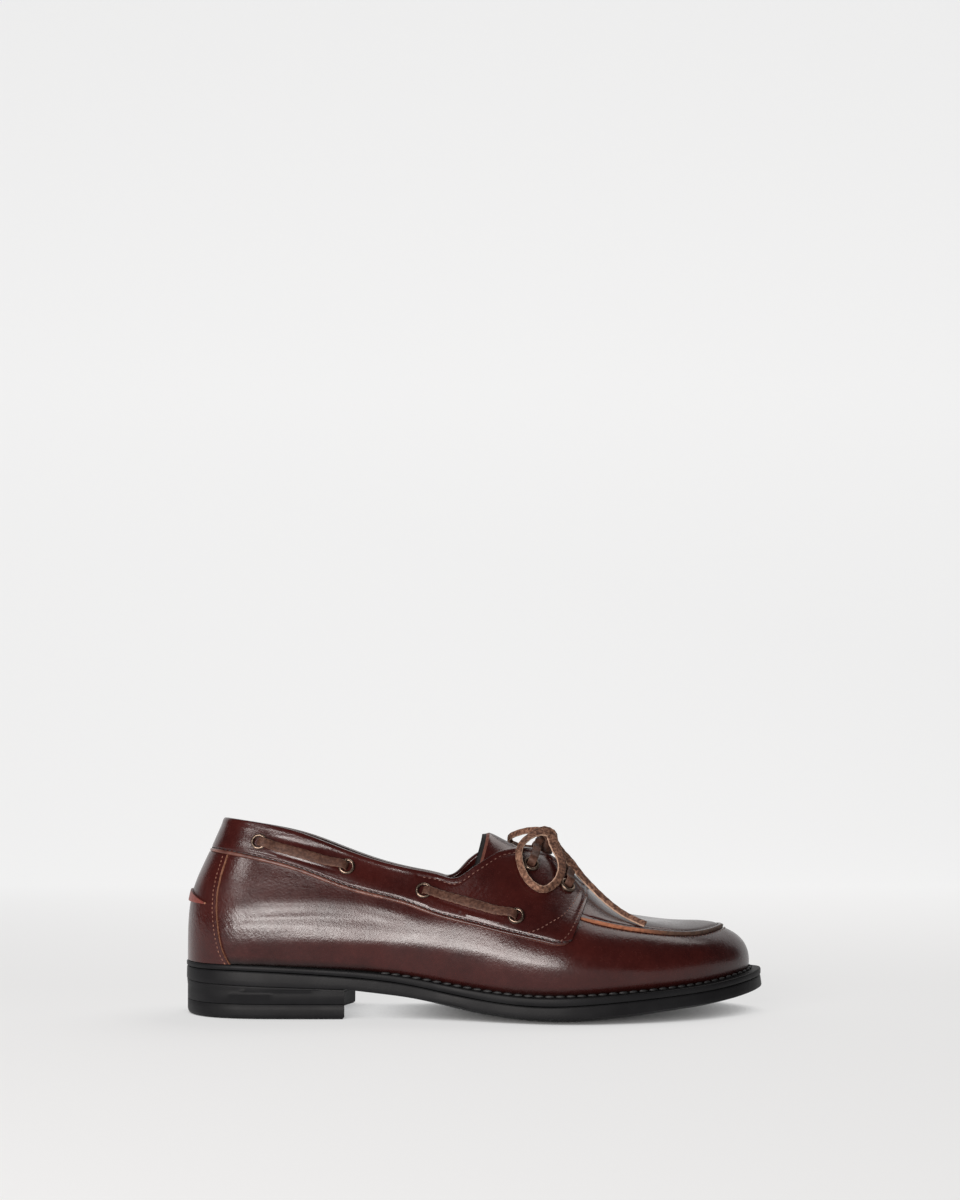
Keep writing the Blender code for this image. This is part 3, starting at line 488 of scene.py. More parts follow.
def outsole_under(x):
    """Height of the outsole's lower rim: level with the heel seam behind the breast."""
    share = (x - BACK_X) / (HEEL_BREAST - BACK_X)
    behind = HEEL_SEAM + (sole_rim(HEEL_BREAST) - HEEL_SEAM) * share
    return np.where(x < HEEL_BREAST, behind, sole_rim(x))


def welt_under(x):
    return welt_top(x) - welt_thickness(x)


def crowned(share):
    """Height of the outsole's underside, which swells down from its rim at the ball."""
    def height(x):
        lift = CROWN * share * smooth_step(HEEL_BREAST + 4, 0, x)
        return np.where(x > HEEL_BREAST, np.maximum(outsole_under(x) - lift, 0.0), outsole_under(x))

    return height


def flare(x):
    return -TOE_FLARE * smooth_step(60, TOE_X, x)


outsole_top = plus(welt_under, -FIT_GAP)
outsole_rows = [ring_row(13.0, crowned(1.0), share) for share in (1.0, 0.75, 0.5, 0.25)]
outsole_rows += [ring_row(*row) for row in (
    (13.0, crowned(1.0)), (8.5, crowned(0.8)), (4.5, crowned(0.45)), (plus(flare, 1.4), crowned(0.1)),
    (plus(flare, 0.5), plus(outsole_under, 0.05)), (plus(flare, 0.15), plus(outsole_under, 0.22)),
    (plus(flare, 0.02), plus(outsole_under, 0.6)),
    (lambda x: flare(x) * 0.6 + 0.05, lambda x: 0.6 * outsole_under(x) + 0.4 * outsole_top(x)),
    (0.1, plus(outsole_top, -0.9)), (0.2, plus(outsole_top, -0.35)), (0.5, plus(outsole_top, -0.05)),
    (1.2, outsole_top), (6.0, outsole_top), (6.0, outsole_top, 0.5), (6.0, outsole_top, 1.0),
)]
outsole = moulded_rows("sole_unit", 400, outsole_rows, (rubber, tread), tread_rows=6)
stands_for(outsole, "outsole", "black_rubber")


# ---------------------------------------------------------------- heel
# The block heel is two more mouldings under the back of the sole: a block and a top piece that wears.
# Their front, the breast, is hollow. A few fine ribs are moulded along the flanks.

TOP_PIECE = 7.4
HEEL_TAPER = 0.5
BREAST_HOLLOW = 7.0
HEEL_MIDDLE = np.array((-105.0, -1.0))
RIB_PROUD = 0.14
AROUND_BACK, ACROSS_BREAST = 220, 60


def heel_outline(inset):
    """Plan of the heel: round the back from breast to breast, then the hollow breast."""
    sides = []
    for start in (1.0, 0.0):
        point, inward = sole_edge(np.minimum(np.linspace(start, 0.5, 500), 0.999999))
        line = point + inward * inset
        sides.append(line[line[:, 0] < HEEL_BREAST - inset * 0.5])
    back = np.concatenate([sides[0][::-1], sides[1][1:]])
    a = np.linspace(0, 1, ACROSS_BREAST)
    breast = back[-1] + (back[0] - back[-1]) * a[:, None]
    breast[:, 0] -= BREAST_HOLLOW * np.sin(np.pi * a)
    share = AROUND_BACK / (AROUND_BACK + ACROSS_BREAST)

    def at(u):
        placed = []
        for line, low, high in ((back, 0.0, share), (breast, share, 1.0)):
            covered = travelled(line)
            placed.append(read_at(np.clip((u - low) / (high - low), 0, 1) * covered[-1], covered, line))
        return np.where((u <= share)[:, None], *placed)

    return at


def heel_row(inset, height, share=0.0):
    """A row round the heel, moved a share of the way to its middle."""
    outline = heel_outline(inset)

    def row(u):
        plan = outline(u)
        return np.column_stack([plan + (HEEL_MIDDLE - plan) * share, size_at(height, plan[:, 0])])

    return row


def flank_rib(z, start, end):
    """The rows of a fine rib along the flanks, at height z, from x start to x end."""
    outline, out = heel_outline(HEEL_TAPER), heel_outline(HEEL_TAPER - RIB_PROUD)

    def row(offset, proud):
        def at(u):
            plan, far = outline(u), out(u)
            x = plan[:, 0]
            keep = smooth_step(start, start + 3, x) * (1 - smooth_step(end - 3, end, x)) * proud
            keep = keep * (np.abs(plan[:, 1]) > 20)
            return np.column_stack([plan + (far - plan) * keep[:, None], np.full(len(u), z + offset)])

        return at

    return [row(-0.22, 0.0), row(-0.06, 1.0), row(0.06, 1.0), row(0.22, 0.0)]


block_rows = [heel_row(inset, TOP_PIECE + 0.1 + rise, share) for inset, rise, share in (
    (HEEL_TAPER + 1.4, 0.0, 1.0), (HEEL_TAPER + 1.4, 0.0, 0.0), (HEEL_TAPER + 0.14, 0.04, 0.0),
    (HEEL_TAPER, 0.2, 0.0),
)]
block_rows += flank_rib(12.2, -124, -100) + flank_rib(14.0, -118, -80)
block_rows += [heel_row(*row) for row in (
    (HEEL_TAPER * 0.5, plus(outsole_under, -0.8)), (HEEL_TAPER * 0.5, plus(outsole_under, -0.2)),
    (HEEL_TAPER * 0.5 + 0.14, plus(outsole_under, -0.05)), (HEEL_TAPER + 1.6, plus(outsole_under, -0.05)),
    (HEEL_TAPER + 1.6, outsole_under(HEEL_MIDDLE[0]) - 0.05, 1.0),
)]
stands_for(moulded_rows("heel_body", 280, block_rows, (rubber,), sharp=50), "heel_block", "black_rubber")

top_piece_rows = [heel_row(*row) for row in (
    (2.6, 0.0, 1.0), (2.6, 0.0, 0.5), (2.6, 0.0), (1.9, 0.12), (1.2, 0.5), (0.75, 1.2),
    (HEEL_TAPER, 2.3), (HEEL_TAPER, 4.5), (HEEL_TAPER, TOP_PIECE - 0.24),
    (HEEL_TAPER + 0.16, TOP_PIECE - 0.06), (HEEL_TAPER + 1.4, TOP_PIECE), (HEEL_TAPER + 1.4, TOP_PIECE, 1.0),
)]
top_piece = moulded_rows("heel_cap", 280, top_piece_rows, (rubber, tread), tread_rows=2, sharp=50)
stands_for(top_piece, "heel_top_piece", "black_rubber")


# ---------------------------------------------------------------- welt
# The welt is a black strip that lies on the outsole all round and carries the visible stitching. It is
# sewn through to the upper, and its top has a shallow channel for the thread and a thin raised lip.

WELT_REACH = (
    (BACK_X, 2.0), (-110, 2.2), (-60, 3.0), (-20, 3.8), (20, 4.8), (60, 5.2), (110, 5.5), (TOE_X, 5.7),
)
welt_reach = spline(WELT_REACH)


def channel(x):
    """Height of the stitch channel's bed; it starts at the waist."""
    return welt_top(x) - 0.1 - 0.35 * smooth_step(-44, -34, x)


welt_rows = [ring_row(inset, height) for inset, height in (
    (1.0, welt_under), (0.35, plus(welt_under, 0.06)), (0.05, plus(welt_under, 0.4)),
    (0.0, lambda x: welt_top(x) - welt_thickness(x) * 0.5), (0.0, plus(welt_top, -0.75)),
    (0.12, plus(welt_top, -0.3)), (0.4, plus(welt_top, -0.02)), (0.9, plus(welt_top, 0.05)),
    (lambda x: 0.3 * welt_reach(x) + 0.4, channel), (lambda x: 0.8 * welt_reach(x) - 0.2, channel),
    (welt_reach, plus(welt_top, 0.05)), (plus(welt_reach, 2.0), plus(welt_top, 0.05)),
    (plus(welt_reach, 2.0), welt_under), (1.0, welt_under),
)]
stands_for(moulded_rows("welt_strip", 480, welt_rows, (rubber,), sharp=50), "welt", "black_rubber")


# ---------------------------------------------------------------- insole
# A black leather sock lines the bottom of the shoe. It is glued flat on the insole, and its edge meets
# the lining of the upper all round.

def mottled(name, specular, low, high, patches, roughness, bump=None):
    """A finish that varies between two shades, with a fine bump where it has one."""
    made = Finish(name, Specular_IOR_Level=specular)
    made.colour(made.shades(made.noise(*patches), low, high))
    made.roughness(roughness)
    if bump:
        scale, detail, depth = bump
        made.relief(made.noise(scale, detail), depth)
    return made


lining = mottled("black_lining", 0.2, (0.3, 0.007, 0.0065, 0.0065), (0.8, 0.013, 0.012, 0.012),
                 (120, 3), 0.62, (1400, 2, 0.00005))

insole_rows = [ring_row(plus(welt_reach, 2.0 + FIT_GAP + inset), height, share) for inset, height, share in (
    (0.0, plus(outsole_top, FIT_GAP + 0.1), 1.0), (0.0, plus(outsole_top, FIT_GAP + 0.1), 0.0),
    (0.0, plus(welt_top, 0.7), 0.0), (0.5, plus(welt_top, 1.25), 0.0),
    *((1.6, plus(welt_top, 1.3), share) for share in (0.0, 0.3, 0.6, 1.0)),
)]
stands_for(moulded_rows("sock", 200, insole_rows, (lining,)), "insole", "black_lining")


# ---------------------------------------------------------------- upper
# The upper is a hollow shell of soft oxblood leather over a black lining, pulled over the last and sewn
# to the welt at its foot. Its shape is the last's: ribs that rise from the sole to the ridge or topline.

RIBS = (
    # x,      w1,   z1,   w2,   z2,   w3,   z3,   w4,  z4
    (-147.5, 0.2, 42.0, 2.6, 62.0, 9.8, 79.5, 20.2, 103.0),
    (-125.0, -1.5, 42.0, 0.8, 61.0, 6.0, 79.0, 13.0, 101.0),
    (-90.0, -2.6, 41.0, -1.2, 57.0, 2.5, 73.0, 8.5, 95.0),
    (-50.0, -3.6, 37.0, -2.8, 50.0, 1.0, 64.0, 8.0, 83.0),
    (-22.0, -4.5, 34.0, -3.8, 46.0, 1.5, 59.0, 12.0, 79.0),
    (2.0, -4.0, 31.0, -2.2, 45.0, 6.5, 64.0, 38.0, 95.0),
    (20.0, -3.0, 29.0, 0.0, 43.0, 10.0, 62.0, 38.0, 86.0),
    (50.0, -2.5, 27.0, 1.6, 39.5, 12.0, 50.5, 38.0, 65.0),
    (85.0, -2.0, 25.5, 1.8, 35.5, 9.6, 43.0, 38.0, 51.0),
    (115.0, -1.2, 26.0, 1.6, 35.0, 9.2, 40.7, 38.0, 48.0),
    (143.1, -0.1, 26.5, 2.6, 34.8, 14.0, 42.7, 38.0, 48.0),
)
RIDGE = (
    (2, 97.0), (8.2, 95.0), (15.5, 91.8), (21.2, 90.2), (28, 88.2), (36, 84.3), (45, 76.8), (51, 70.2),
    (57.6, 62.6), (64, 56.3), (70, 51.7), (77, 48.3), (85, 46.4), (96, 45.4), (108, 45.1),
)
SPINE_X = (
    (-147.5, -108), (-120, -103), (-90, -86), (-40, -38), (0, 0), (60, 60), (95, 86), (120, 98), (143.1, 106),
)
SPINE_Y = ((-150, 0), (-60, -1), (0, -2), (50, 1), (85, 4), (110, 6))
COLLAR_END = -24.0
INSTEP_START = 2.0

# Edges of the upper and its overlays in side view: x, z.
TOPLINE = (
    (-175, 99.9), (-131, 100.3), (-110.8, 97.1), (-90.1, 92.5), (-65.3, 83.3), (-47.7, 77.4), (-32.5, 73.8),
    (-17.4, 70.3), (-9.4, 69.1), (-2, 73.8), (5.5, 78.7), (12, 82.5), (19.7, 84.3), (24, 86.0), (40, 92.5),
)
THROAT_HALF = ((4, 17.0), (20, 14.0), (28, 12.0), (36, 10.8), (45, 10.2), (57.5, 9.4))
THROAT_END = 58.0
THROAT_CORNER = 4.0
MEDIAL_DROP = 1.8
COLLAR_WIDTH = 56.0
WALL = 1.7
LATERAL, MEDIAL = -1, 1

ridge, spine_x, spine_y = spline(RIDGE), spline(SPINE_X), spline(SPINE_Y)
throat_half = spline(THROAT_HALF)
topline_middle = spline(TOPLINE[1:13])
rib_column = [spline([(row[0], row[c]) for row in RIBS]) for c in range(1, 9)]
AROUND, UP = 420, 110


def topline(x):
    ends = np.interp(x, [-175, -131, 19.7, 24, 60], [99.9, 100.3, 84.3, 86, 100])
    return np.where((x > -131) & (x < 19.7), topline_middle(x), ends)


def rib(k):
    """Points up one rib of the last, and the shares of its length at which its knots stand."""
    u = k / AROUND
    (foot,), (inward,) = sole_edge(u)
    (other,), (other_in,) = sole_edge(-u)
    foot = foot + inward * welt_reach(foot[0])
    other = other + other_in * welt_reach(other[0])
    x, middle = foot[0], (foot[0] + other[0]) / 2
    top_x = float(spine_x(middle))
    across = np.array([top_x, float(spine_y(top_x))]) - foot
    reach = np.linalg.norm(across)
    across /= reach
    share = float(smooth_step(COLLAR_END, INSTEP_START, middle))
    column = [float(c(x)) for c in rib_column]
    top_w, top_z = reach, float(ridge(top_x))
    if middle < INSTEP_START:
        clipped = min(x, INSTEP_START)
        top_w = (1 - share) * float(rib_column[6](clipped)) + share * reach
        top_z = (1 - share) * float(rib_column[7](clipped)) + share * float(ridge(INSTEP_START))
    w = [0.0, column[0], column[2], column[4], top_w]
    z = [float(welt_top(x)) + FIT_GAP, column[1], column[3], column[5], top_z]
    length = np.concatenate([[0], np.cumsum(np.hypot(np.diff(w), np.diff(z)))])
    knots = length / length[-1]
    v = np.linspace(0, 1, UP + 1)
    rise = np.stack([knots, z], axis=1)
    height = (1 - share) * spline(rise)(v) + share * spline(rise, flat_end=True)(v)
    plan = foot + across * spline(np.stack([knots, w], axis=1))(v)[:, None]
    return np.column_stack([plan, height]), knots


ribs = [rib(k) for k in range(AROUND)]
LAST = np.array([points for points, _ in ribs])
SEAM = np.array([knots[3] for _, knots in ribs])


def last_normals():
    normal = np.cross(np.roll(LAST, -1, 0) - np.roll(LAST, 1, 0), np.gradient(LAST, axis=1))
    if normal[0, 40, 0] > 0:
        normal = -normal
    normal[:, UP] += normal[-np.arange(AROUND), UP]
    normal[np.abs(normal[:, UP]).sum(axis=1) < 1e-9, UP] = 0, 0, 1
    return unit(normal)


NORMALS = last_normals()


def cubic(q):
    """Four weights of a smooth curve through four neighbours, q of the way from the second to the third."""
    return np.stack([
        -0.5 * q + q**2 - 0.5 * q**3, 1 - 2.5 * q**2 + 1.5 * q**3,
        0.5 * q + 2 * q**2 - 1.5 * q**3, -0.5 * q**2 + 0.5 * q**3,
    ])


def looked_up(table, u, v):
    """A table over the last, read at u round it from the heel's back and v up it."""
    u, v = np.asarray(u, float) % 1 * AROUND, np.clip(v, 0, 1) * UP
    i, j = np.floor(u).astype(int), np.minimum(np.floor(v).astype(int), UP - 1)
    a, b = cubic(u - i), cubic(v - j)
    total = 0
    for m in range(4):
        line = table[(i + m - 1) % AROUND]
        for n in range(4):
            at = j + n - 1
            value = line[np.arange(len(at)), np.clip(at, 0, UP)]
            low, high = at < 0, at > UP
            if low.any():
                value = np.where(low[:, None], 2 * line[:, 0] - line[:, 1], value)
            if high.any():
                value = np.where(high[:, None], 2 * line[:, UP] - line[:, UP - 1], value)
            total = total + (a[m] * b[n])[:, None] * value
    return total


def on_last(uv):
    return looked_up(LAST, *uv.T)


def surface(uv, lift=0.0):
    """Points at a height over the last."""
    normal = unit(looked_up(NORMALS, *uv.T))
    return on_last(uv) + normal * np.broadcast_to(lift, len(normal))[:, None]


def stood(uv, lift):
    """Points at a height over the last, and the ways out from it there."""
    return surface(uv, lift), surface(uv, 1.0) - surface(uv)


def found(wanted, axes, allowed):
    """(u, v) on the last at which two of the axes have the wanted values; allowed masks the table."""
    wanted = np.atleast_2d(np.array(wanted, float))
    k, j = np.nonzero(allowed)
    nodes = LAST[k, j][:, axes]
    u, v = np.zeros(len(wanted)), np.zeros(len(wanted))
    for i, goal in enumerate(wanted):
        best = np.argmin(np.sum((nodes - goal) ** 2, axis=1))
        u[i], v[i] = k[best] / AROUND, j[best] / UP
    step = 1e-4
    for _ in range(12):
        here = looked_up(LAST, u, v)[:, axes]
        by_u = (looked_up(LAST, u + step, v)[:, axes] - here) / step
        by_v = (here - looked_up(LAST, u, np.maximum(v - step, 0))[:, axes]) / step
        miss = wanted - here
        area = by_u[:, 0] * by_v[:, 1] - by_u[:, 1] * by_v[:, 0]
        area = np.where(np.abs(area) < 1e-6, 1e-6, area)
        du = (miss[:, 0] * by_v[:, 1] - miss[:, 1] * by_v[:, 0]) / area
        dv = (by_u[:, 0] * miss[:, 1] - by_u[:, 1] * miss[:, 0]) / area
        u = u + np.clip(du, -0.01, 0.01)
        v = np.clip(v + np.clip(dv, -0.03, 0.03), 0, 1)
    return np.column_stack([u, v])


SIDE_OF = np.where(np.arange(AROUND) <= AROUND // 2, LATERAL, MEDIAL)[:, None] * np.ones(UP + 1)
UPPER_HALF = np.arange(UP + 1)[None, :] / UP > 0.3


def from_side(side, points):
    """(u, v) of side-view points x, z on one side of the shoe."""
    return found(points, [0, 2], SIDE_OF == side)


def from_above(points):
    """(u, v) of plan points x, y on the top of the shoe."""
    points = np.atleast_2d(points)
    lateral = points[:, 1] < spine_y(points[:, 0])
    on = [found(points, [0, 1], (SIDE_OF == side) & UPPER_HALF) for side in (LATERAL, MEDIAL)]
    return np.where(lateral[:, None], on[0], on[1])


def drop_at(y):
    """How much lower the upper's edges lie at y than on the lateral side."""
    return MEDIAL_DROP / COLLAR_WIDTH * (y + COLLAR_WIDTH / 2)


def tilted(profile):
    """A side-view profile, as the height at which the surface of either side is cut."""
    return lambda point: profile(point[:, 0]) - drop_at(point[:, 1])


def rises(u, height):
    """v at which the last rises past a height, at each u."""
    u = np.asarray(u, float)
    low, high = np.full(len(u), 0.04), np.ones(len(u))
    for _ in range(24):
        middle = (low + high) / 2
        point = looked_up(LAST, u, middle)
        below = point[:, 2] < height(point)
        low, high = np.where(below, middle, low), np.where(below, high, middle)
    return high


def even(curve, count):
    """A curve of (u, v) points, spaced evenly over the last."""
    covered = travelled(on_last(curve))
    return read_at(np.linspace(0, covered[-1], count), covered, curve)


def read(curve, a):
    """Points of an evenly spaced curve at shares a of its way."""
    return read_at(a, np.linspace(0, 1, len(curve)), curve)


def throat_line(side):
    """(u, v) along the throat's edge, from under the topline to the middle of its front end."""
    x = np.linspace(-2, THROAT_END - THROAT_CORNER, 50)
    plan = list(zip(x, throat_half(x)))
    width = float(throat_half(THROAT_END))
    for a in np.radians(np.linspace(80, 0, 9)):
        plan.append((THROAT_END - THROAT_CORNER + THROAT_CORNER * math.cos(a),
                     width - THROAT_CORNER + THROAT_CORNER * math.sin(a)))
    plan += [(THROAT_END, y) for y in np.linspace(width - THROAT_CORNER, 0, 8)[1:]]
    plan = np.array([(x, float(spine_y(x)) + side * y) for x, y in plan])
    line = found(plan, [0, 1], (SIDE_OF == side) & UPPER_HALF)
    line[-1, 1] = 1.0
    return line


def opening_height(point):
    """Height of the topline; its dip lies further back on the medial side."""
    x = point[:, 0]
    further = 6.0 * smooth_step(-17, -3, x) * (1 - smooth_step(8, 21, x)) * (point[:, 1] > 0)
    return tilted(topline)(point) + further


def smoothed(values, reach):
    """Running mean of values with a number of neighbours on either side."""
    return np.convolve(np.pad(values, reach, mode="edge"), np.ones(2 * reach + 1) / (2 * reach + 1), "valid")


def opening_edge(side):
    """(u, v) from the back of the heel along the topline and the throat, to its front end on the spine."""
    u = np.linspace(0, 0.36, 400)
    u = u if side == LATERAL else 1 - u
    top, throat = np.column_stack([u, rises(u, opening_height)]), throat_line(side)
    top_at, throat_at = on_last(top), on_last(throat)
    inside = np.abs(top_at[:, 1] - spine_y(top_at[:, 0])) < throat_half(top_at[:, 0])
    last = np.argmax(inside & (top_at[:, 0] > -2))
    under = throat_at[:, 2] < opening_height(throat_at)
    first = np.argmax(under & (throat_at[:, 0] > top_at[last - 1, 0]))
    line = even(np.concatenate([top[:last], throat[first:]]), 700)
    corner = np.argmin(np.sum((line - top[last - 1]) ** 2, axis=1))
    rounded = np.column_stack([smoothed(c, 14) for c in line.T])
    return line + (rounded - line) * np.exp(-(((np.arange(700) - corner) / 24) ** 4))[:, None]


OPENING = {side: opening_edge(side) for side in (LATERAL, MEDIAL)}


def spine_line(side):
    """(u, 1) from the throat's front end to the toe."""
    start = OPENING[side][-1, 0]
    return np.column_stack([np.linspace(start, 0.5, 300), np.ones(300)])


COLUMNS = 620


def side_columns(side):
    """Top and foot of each column of the upper on one side, from heel to toe, as (u, v)."""
    top = np.concatenate([even(OPENING[side], 931), even(spine_line(side), 310)[1:]])
    steady = np.linspace(top[0, 0], 0.5, len(top))
    return top, np.column_stack([(steady + smoothed(top[:, 0], 90)) / 2, 0 * steady])


def ring_columns(sides, which, a):
    """Columns right round, a from 0 at the heel by the lateral side to 1."""
    lateral = read(sides[LATERAL][which], np.clip(2 * a, 0, 1))
    medial = read(sides[MEDIAL][which], np.clip(2 - 2 * a, 0, 1))
    return np.where((a <= 0.5)[:, None], lateral, medial)


columns_of = {side: side_columns(side) for side in (LATERAL, MEDIAL)}
OUTER_ROWS, RIM_ROWS, INNER_ROWS = 84, 4, 20
UPPER_ROWS = OUTER_ROWS + RIM_ROWS + INNER_ROWS

# Folds pressed into the leather: side-view points x, z, then half width and height, below zero
# for a trough.
FOLDS = (
    (((-132, 58.0), (-116, 57.2), (-96, 57.8), (-76, 58.0), (-56, 57.0), (-36, 53.6), (-14, 49.4),
      (14, 43.6)), 5.0, 0.55),
    (((-132, 36.5), (-112, 37.2), (-80, 38.0), (-52, 37.4), (-24, 35.2), (6, 33.0)), 4.0, 0.34),
    (((-130, 48.6), (-112, 49.6), (-96, 50.0), (-79, 50.2), (-52, 48.6), (-30, 45.2)), 2.4, -0.27),
    (((-58, 55.0), (-46, 52.0), (-34, 49.2)), 1.4, -0.10),
    (((-2.6, 60.2), (0.2, 62.8), (2.4, 65.2)), 0.6, -0.13),
    (((-0.6, 59.4), (2.2, 62.0), (5.2, 64.8)), 0.6, -0.12),
    (((-2.8, 65.2), (0.6, 67.4)), 0.6, -0.09),
    (((3.6, 62.4), (6.0, 66.9)), 0.6, -0.10),
    (((-128, 88.0), (-118, 87.0), (-104, 83.4), (-86, 78.2), (-68, 71.4), (-52, 66.0), (-38, 61.6),
      (-24, 58.0), (-8, 53.4), (8, 49.6), (24, 46.0)), 4.4, 0.60),
    (((-103, 82.6), (-86, 77.6), (-69, 72.4)), 0.9, -0.30),
    (((-21, 59.0), (-3, 53.6), (15, 49.0)), 0.9, -0.30),
    (((-33.5, 59.4), (-29.5, 58.2), (-26, 58.3), (-22.5, 60.4)), 0.9, -0.18),
    (((-29, 57.2), (-25, 56.9), (-21.5, 58.2)), 0.8, -0.12),
    (((-9.6, 51.4), (-7.3, 54.4)), 0.8, -0.16),
    (((14, 55.8), (17.3, 58.0), (21.3, 57.8)), 0.8, -0.16),
    (((20.4, 42.4), (24, 46.5)), 0.9, -0.14),
    (((25.0, 42.4), (29.6, 46.6)), 0.9, -0.14),
    (((-107.5, 93.6), (-91.4, 89.9), (-77.0, 85.9), (-62.7, 81.4)), 1.6, 0.20),
    (((-104, 90.4), (-90, 87.0), (-74, 82.6)), 1.4, -0.18),
    (((33, 52), (40, 47), (44, 42)), 2.0, -0.12),
    (((70, 30.5), (88, 27.5), (104, 26.8)), 3.0, -0.10),
    (((60, 45.8), (74, 42.0), (90, 39.4)), 2.2, 0.08),
)


def creases(point):
    """Height of the folds in the leather, in millimetres; on the medial side they lie a little elsewhere."""
    medial = point[:, 1] > 0
    x = point[:, 0] + np.where(medial, 5.0 + 3.0 * np.sin(point[:, 0] / 17), 0)
    z = point[:, 2] + np.where(medial, 1.2 + 1.5 * np.sin(point[:, 0] / 23), 0)
    total = np.zeros(len(point))
    for line, half, height in FOLDS:
        nearest, fade = np.full(len(x), 1e9), np.zeros(len(x))
        parts = len(line) - 1
        for i, ((x0, z0), (x1, z1)) in enumerate(zip(line, line[1:])):
            dx, dz = x1 - x0, z1 - z0
            share = np.clip(((x - x0) * dx + (z - z0) * dz) / (dx * dx + dz * dz), 0, 1)
            away = np.hypot(x - x0 - share * dx, z - z0 - share * dz)
            fade = np.where(away < nearest, np.sin(math.pi * (i + share) / parts) ** 0.6, fade)
            nearest = np.minimum(away, nearest)
        total += height * fade * np.exp(-((nearest / half) ** 2))
    return total


def upper_at(a, b):
    """Up the outer face, over the edge of the leather, and down the lining."""
    top, foot = ring_columns(columns_of, 0, a), ring_columns(columns_of, 1, a)
    row = b * UPPER_ROWS
    rise = np.clip(row / OUTER_ROWS, 0, 1)
    rise = np.where(row > OUTER_ROWS + RIM_ROWS, 1 - (row - OUTER_ROWS - RIM_ROWS) / INNER_ROWS, rise)
    over = np.clip((row - OUTER_ROWS) / RIM_ROWS, 0, 1)
    point, normal = stood(foot + (top - foot) * rise[:, None], -WALL * over)
    return point + normal * np.where(row < OUTER_ROWS + 0.5, creases(point), 0)[:, None]


# Columns whose two sides meet on the spine, in front of the throat, have no rim.
column_tops = on_last(ring_columns(columns_of, 0, (np.arange(COLUMNS) + 0.5) / COLUMNS))
closed_columns = column_tops[:, 0] > THROAT_END - 0.02
OXBLOOD = (0.32, 0.017, 0.0027, 0.0025), (0.70, 0.041, 0.0067, 0.0052)
# Near-black painted shade for the strip of the upper just above the welt, where the leather turns under and lies in
# shadow.
PAINTED_SHADE_AT_WELT = (0.0016, 0.0008, 0.0008, 1)


def oxblood(name, joint=None):
    """Mottled dye, fine grain, wrinkles behind the strap, waxy polish and, where joint is given, that colour as
    painted shade along the foot next to the welt.
    """
    made = Finish(name, Specular_IOR_Level=0.30, Coat_Roughness=0.16, Coat_IOR=1.4)
    fine = made.noise(420, 3, 0.6)
    dye = made.shades(made.noise(34, 5, 0.6) * 0.75 + fine * 0.25, *OXBLOOD)
    if joint:
        # Painted shade: the colour darkens to the given shade over the lowest twentieth of the grid, next to the welt.
        foot = made.axis(1, made.node("UVMap", {"uv_map": "grid"}))
        dye = made.blend(made.ramp(foot, 0.0, 0.05), joint, dye)
    made.colour(dye)
    along, height = made.axis(0), made.axis(2)
    handled = made.ramp(along, -0.03, -0.07) * made.ramp(height, 0.0495, 0.056)
    handled = handled * made.ramp(height, 0.072, 0.062)
    polish = made.ramp(made.noise(110, 4, 0.6) * 0.5 + fine * 0.5, 0.3, 0.7, 0.19, 0.31)
    made.roughness(polish + handled * 0.10)
    grain = made.relief(made.noise(120, 2, 0.5), 0.00007)
    grain = made.relief(made.noise(820, 2, 0.6), 0.00009, grain)
    zone = made.ramp(along, -0.082, -0.112) * made.ramp(height, 0.036, 0.048)
    zone = zone * made.ramp(height, 0.066, 0.055)
    drawn = made.node("Mapping", {"vector_type": "TEXTURE"}, {
        "Vector": made.place, "Rotation": (0, math.radians(-38), 0), "Scale": (1.0, 1.0, 4.5)})
    made.relief(made.noise(620, 2, 0.5, place=drawn) * zone, 0.00026, grain)
    made.feed(made.shader.inputs["Coat Weight"], made.ramp(made.noise(50, 3), 0.3, 0.75, 0.08, 0.24))
    return made


# The upper's outside takes the leather with painted shade along its foot by the welt.
leather, shaded_at_welt = oxblood("oxblood_leather"), oxblood("lasted_leather", PAINTED_SHADE_AT_WELT)
upper = moulded(
    "upper_shell", COLUMNS, UPPER_ROWS, upper_at, (shaded_at_welt, lining),
    slot_of=lambda a, b: int(b * UPPER_ROWS > OUTER_ROWS + RIM_ROWS / 2),
    dropped=lambda a, b: (OUTER_ROWS < b * UPPER_ROWS < OUTER_ROWS + RIM_ROWS
                          and closed_columns[int(a * COLUMNS)]),
)
stands_for(upper, "upper", "oxblood_leather")


# ---------------------------------------------------------------- plug
# The plug is a separate piece of the same leather that closes the top of the forefoot. Its cut edge
# stands on the vamp all round the toe and is sewn down a few millimetres in, which leaves a raised lip.

RIB_LENGTH = np.linalg.norm(np.diff(LAST, axis=1), axis=2).sum(axis=1)
PLUG_COLUMNS = 420
PLUG_STEPS = (
    # distance in from the seam, height over the vamp
    (0.0, -0.1), (0.0, 0.7), (0.06, 1.25), (0.3, 1.55), (0.8, 1.68), (1.4, 1.6), (1.9, 1.35), (2.3, 1.0),
    (2.6, 0.8), (2.9, 0.78), (3.3, 0.95), (3.8, 1.13), (4.6, 1.22), (5.6, 1.22),
)
PLUG_INNER = 26


def by_u(values, u):
    """A value per rib, read between the ribs."""
    return np.interp(np.asarray(u) % 1 * AROUND, np.arange(AROUND + 1), np.append(values, values[0]))


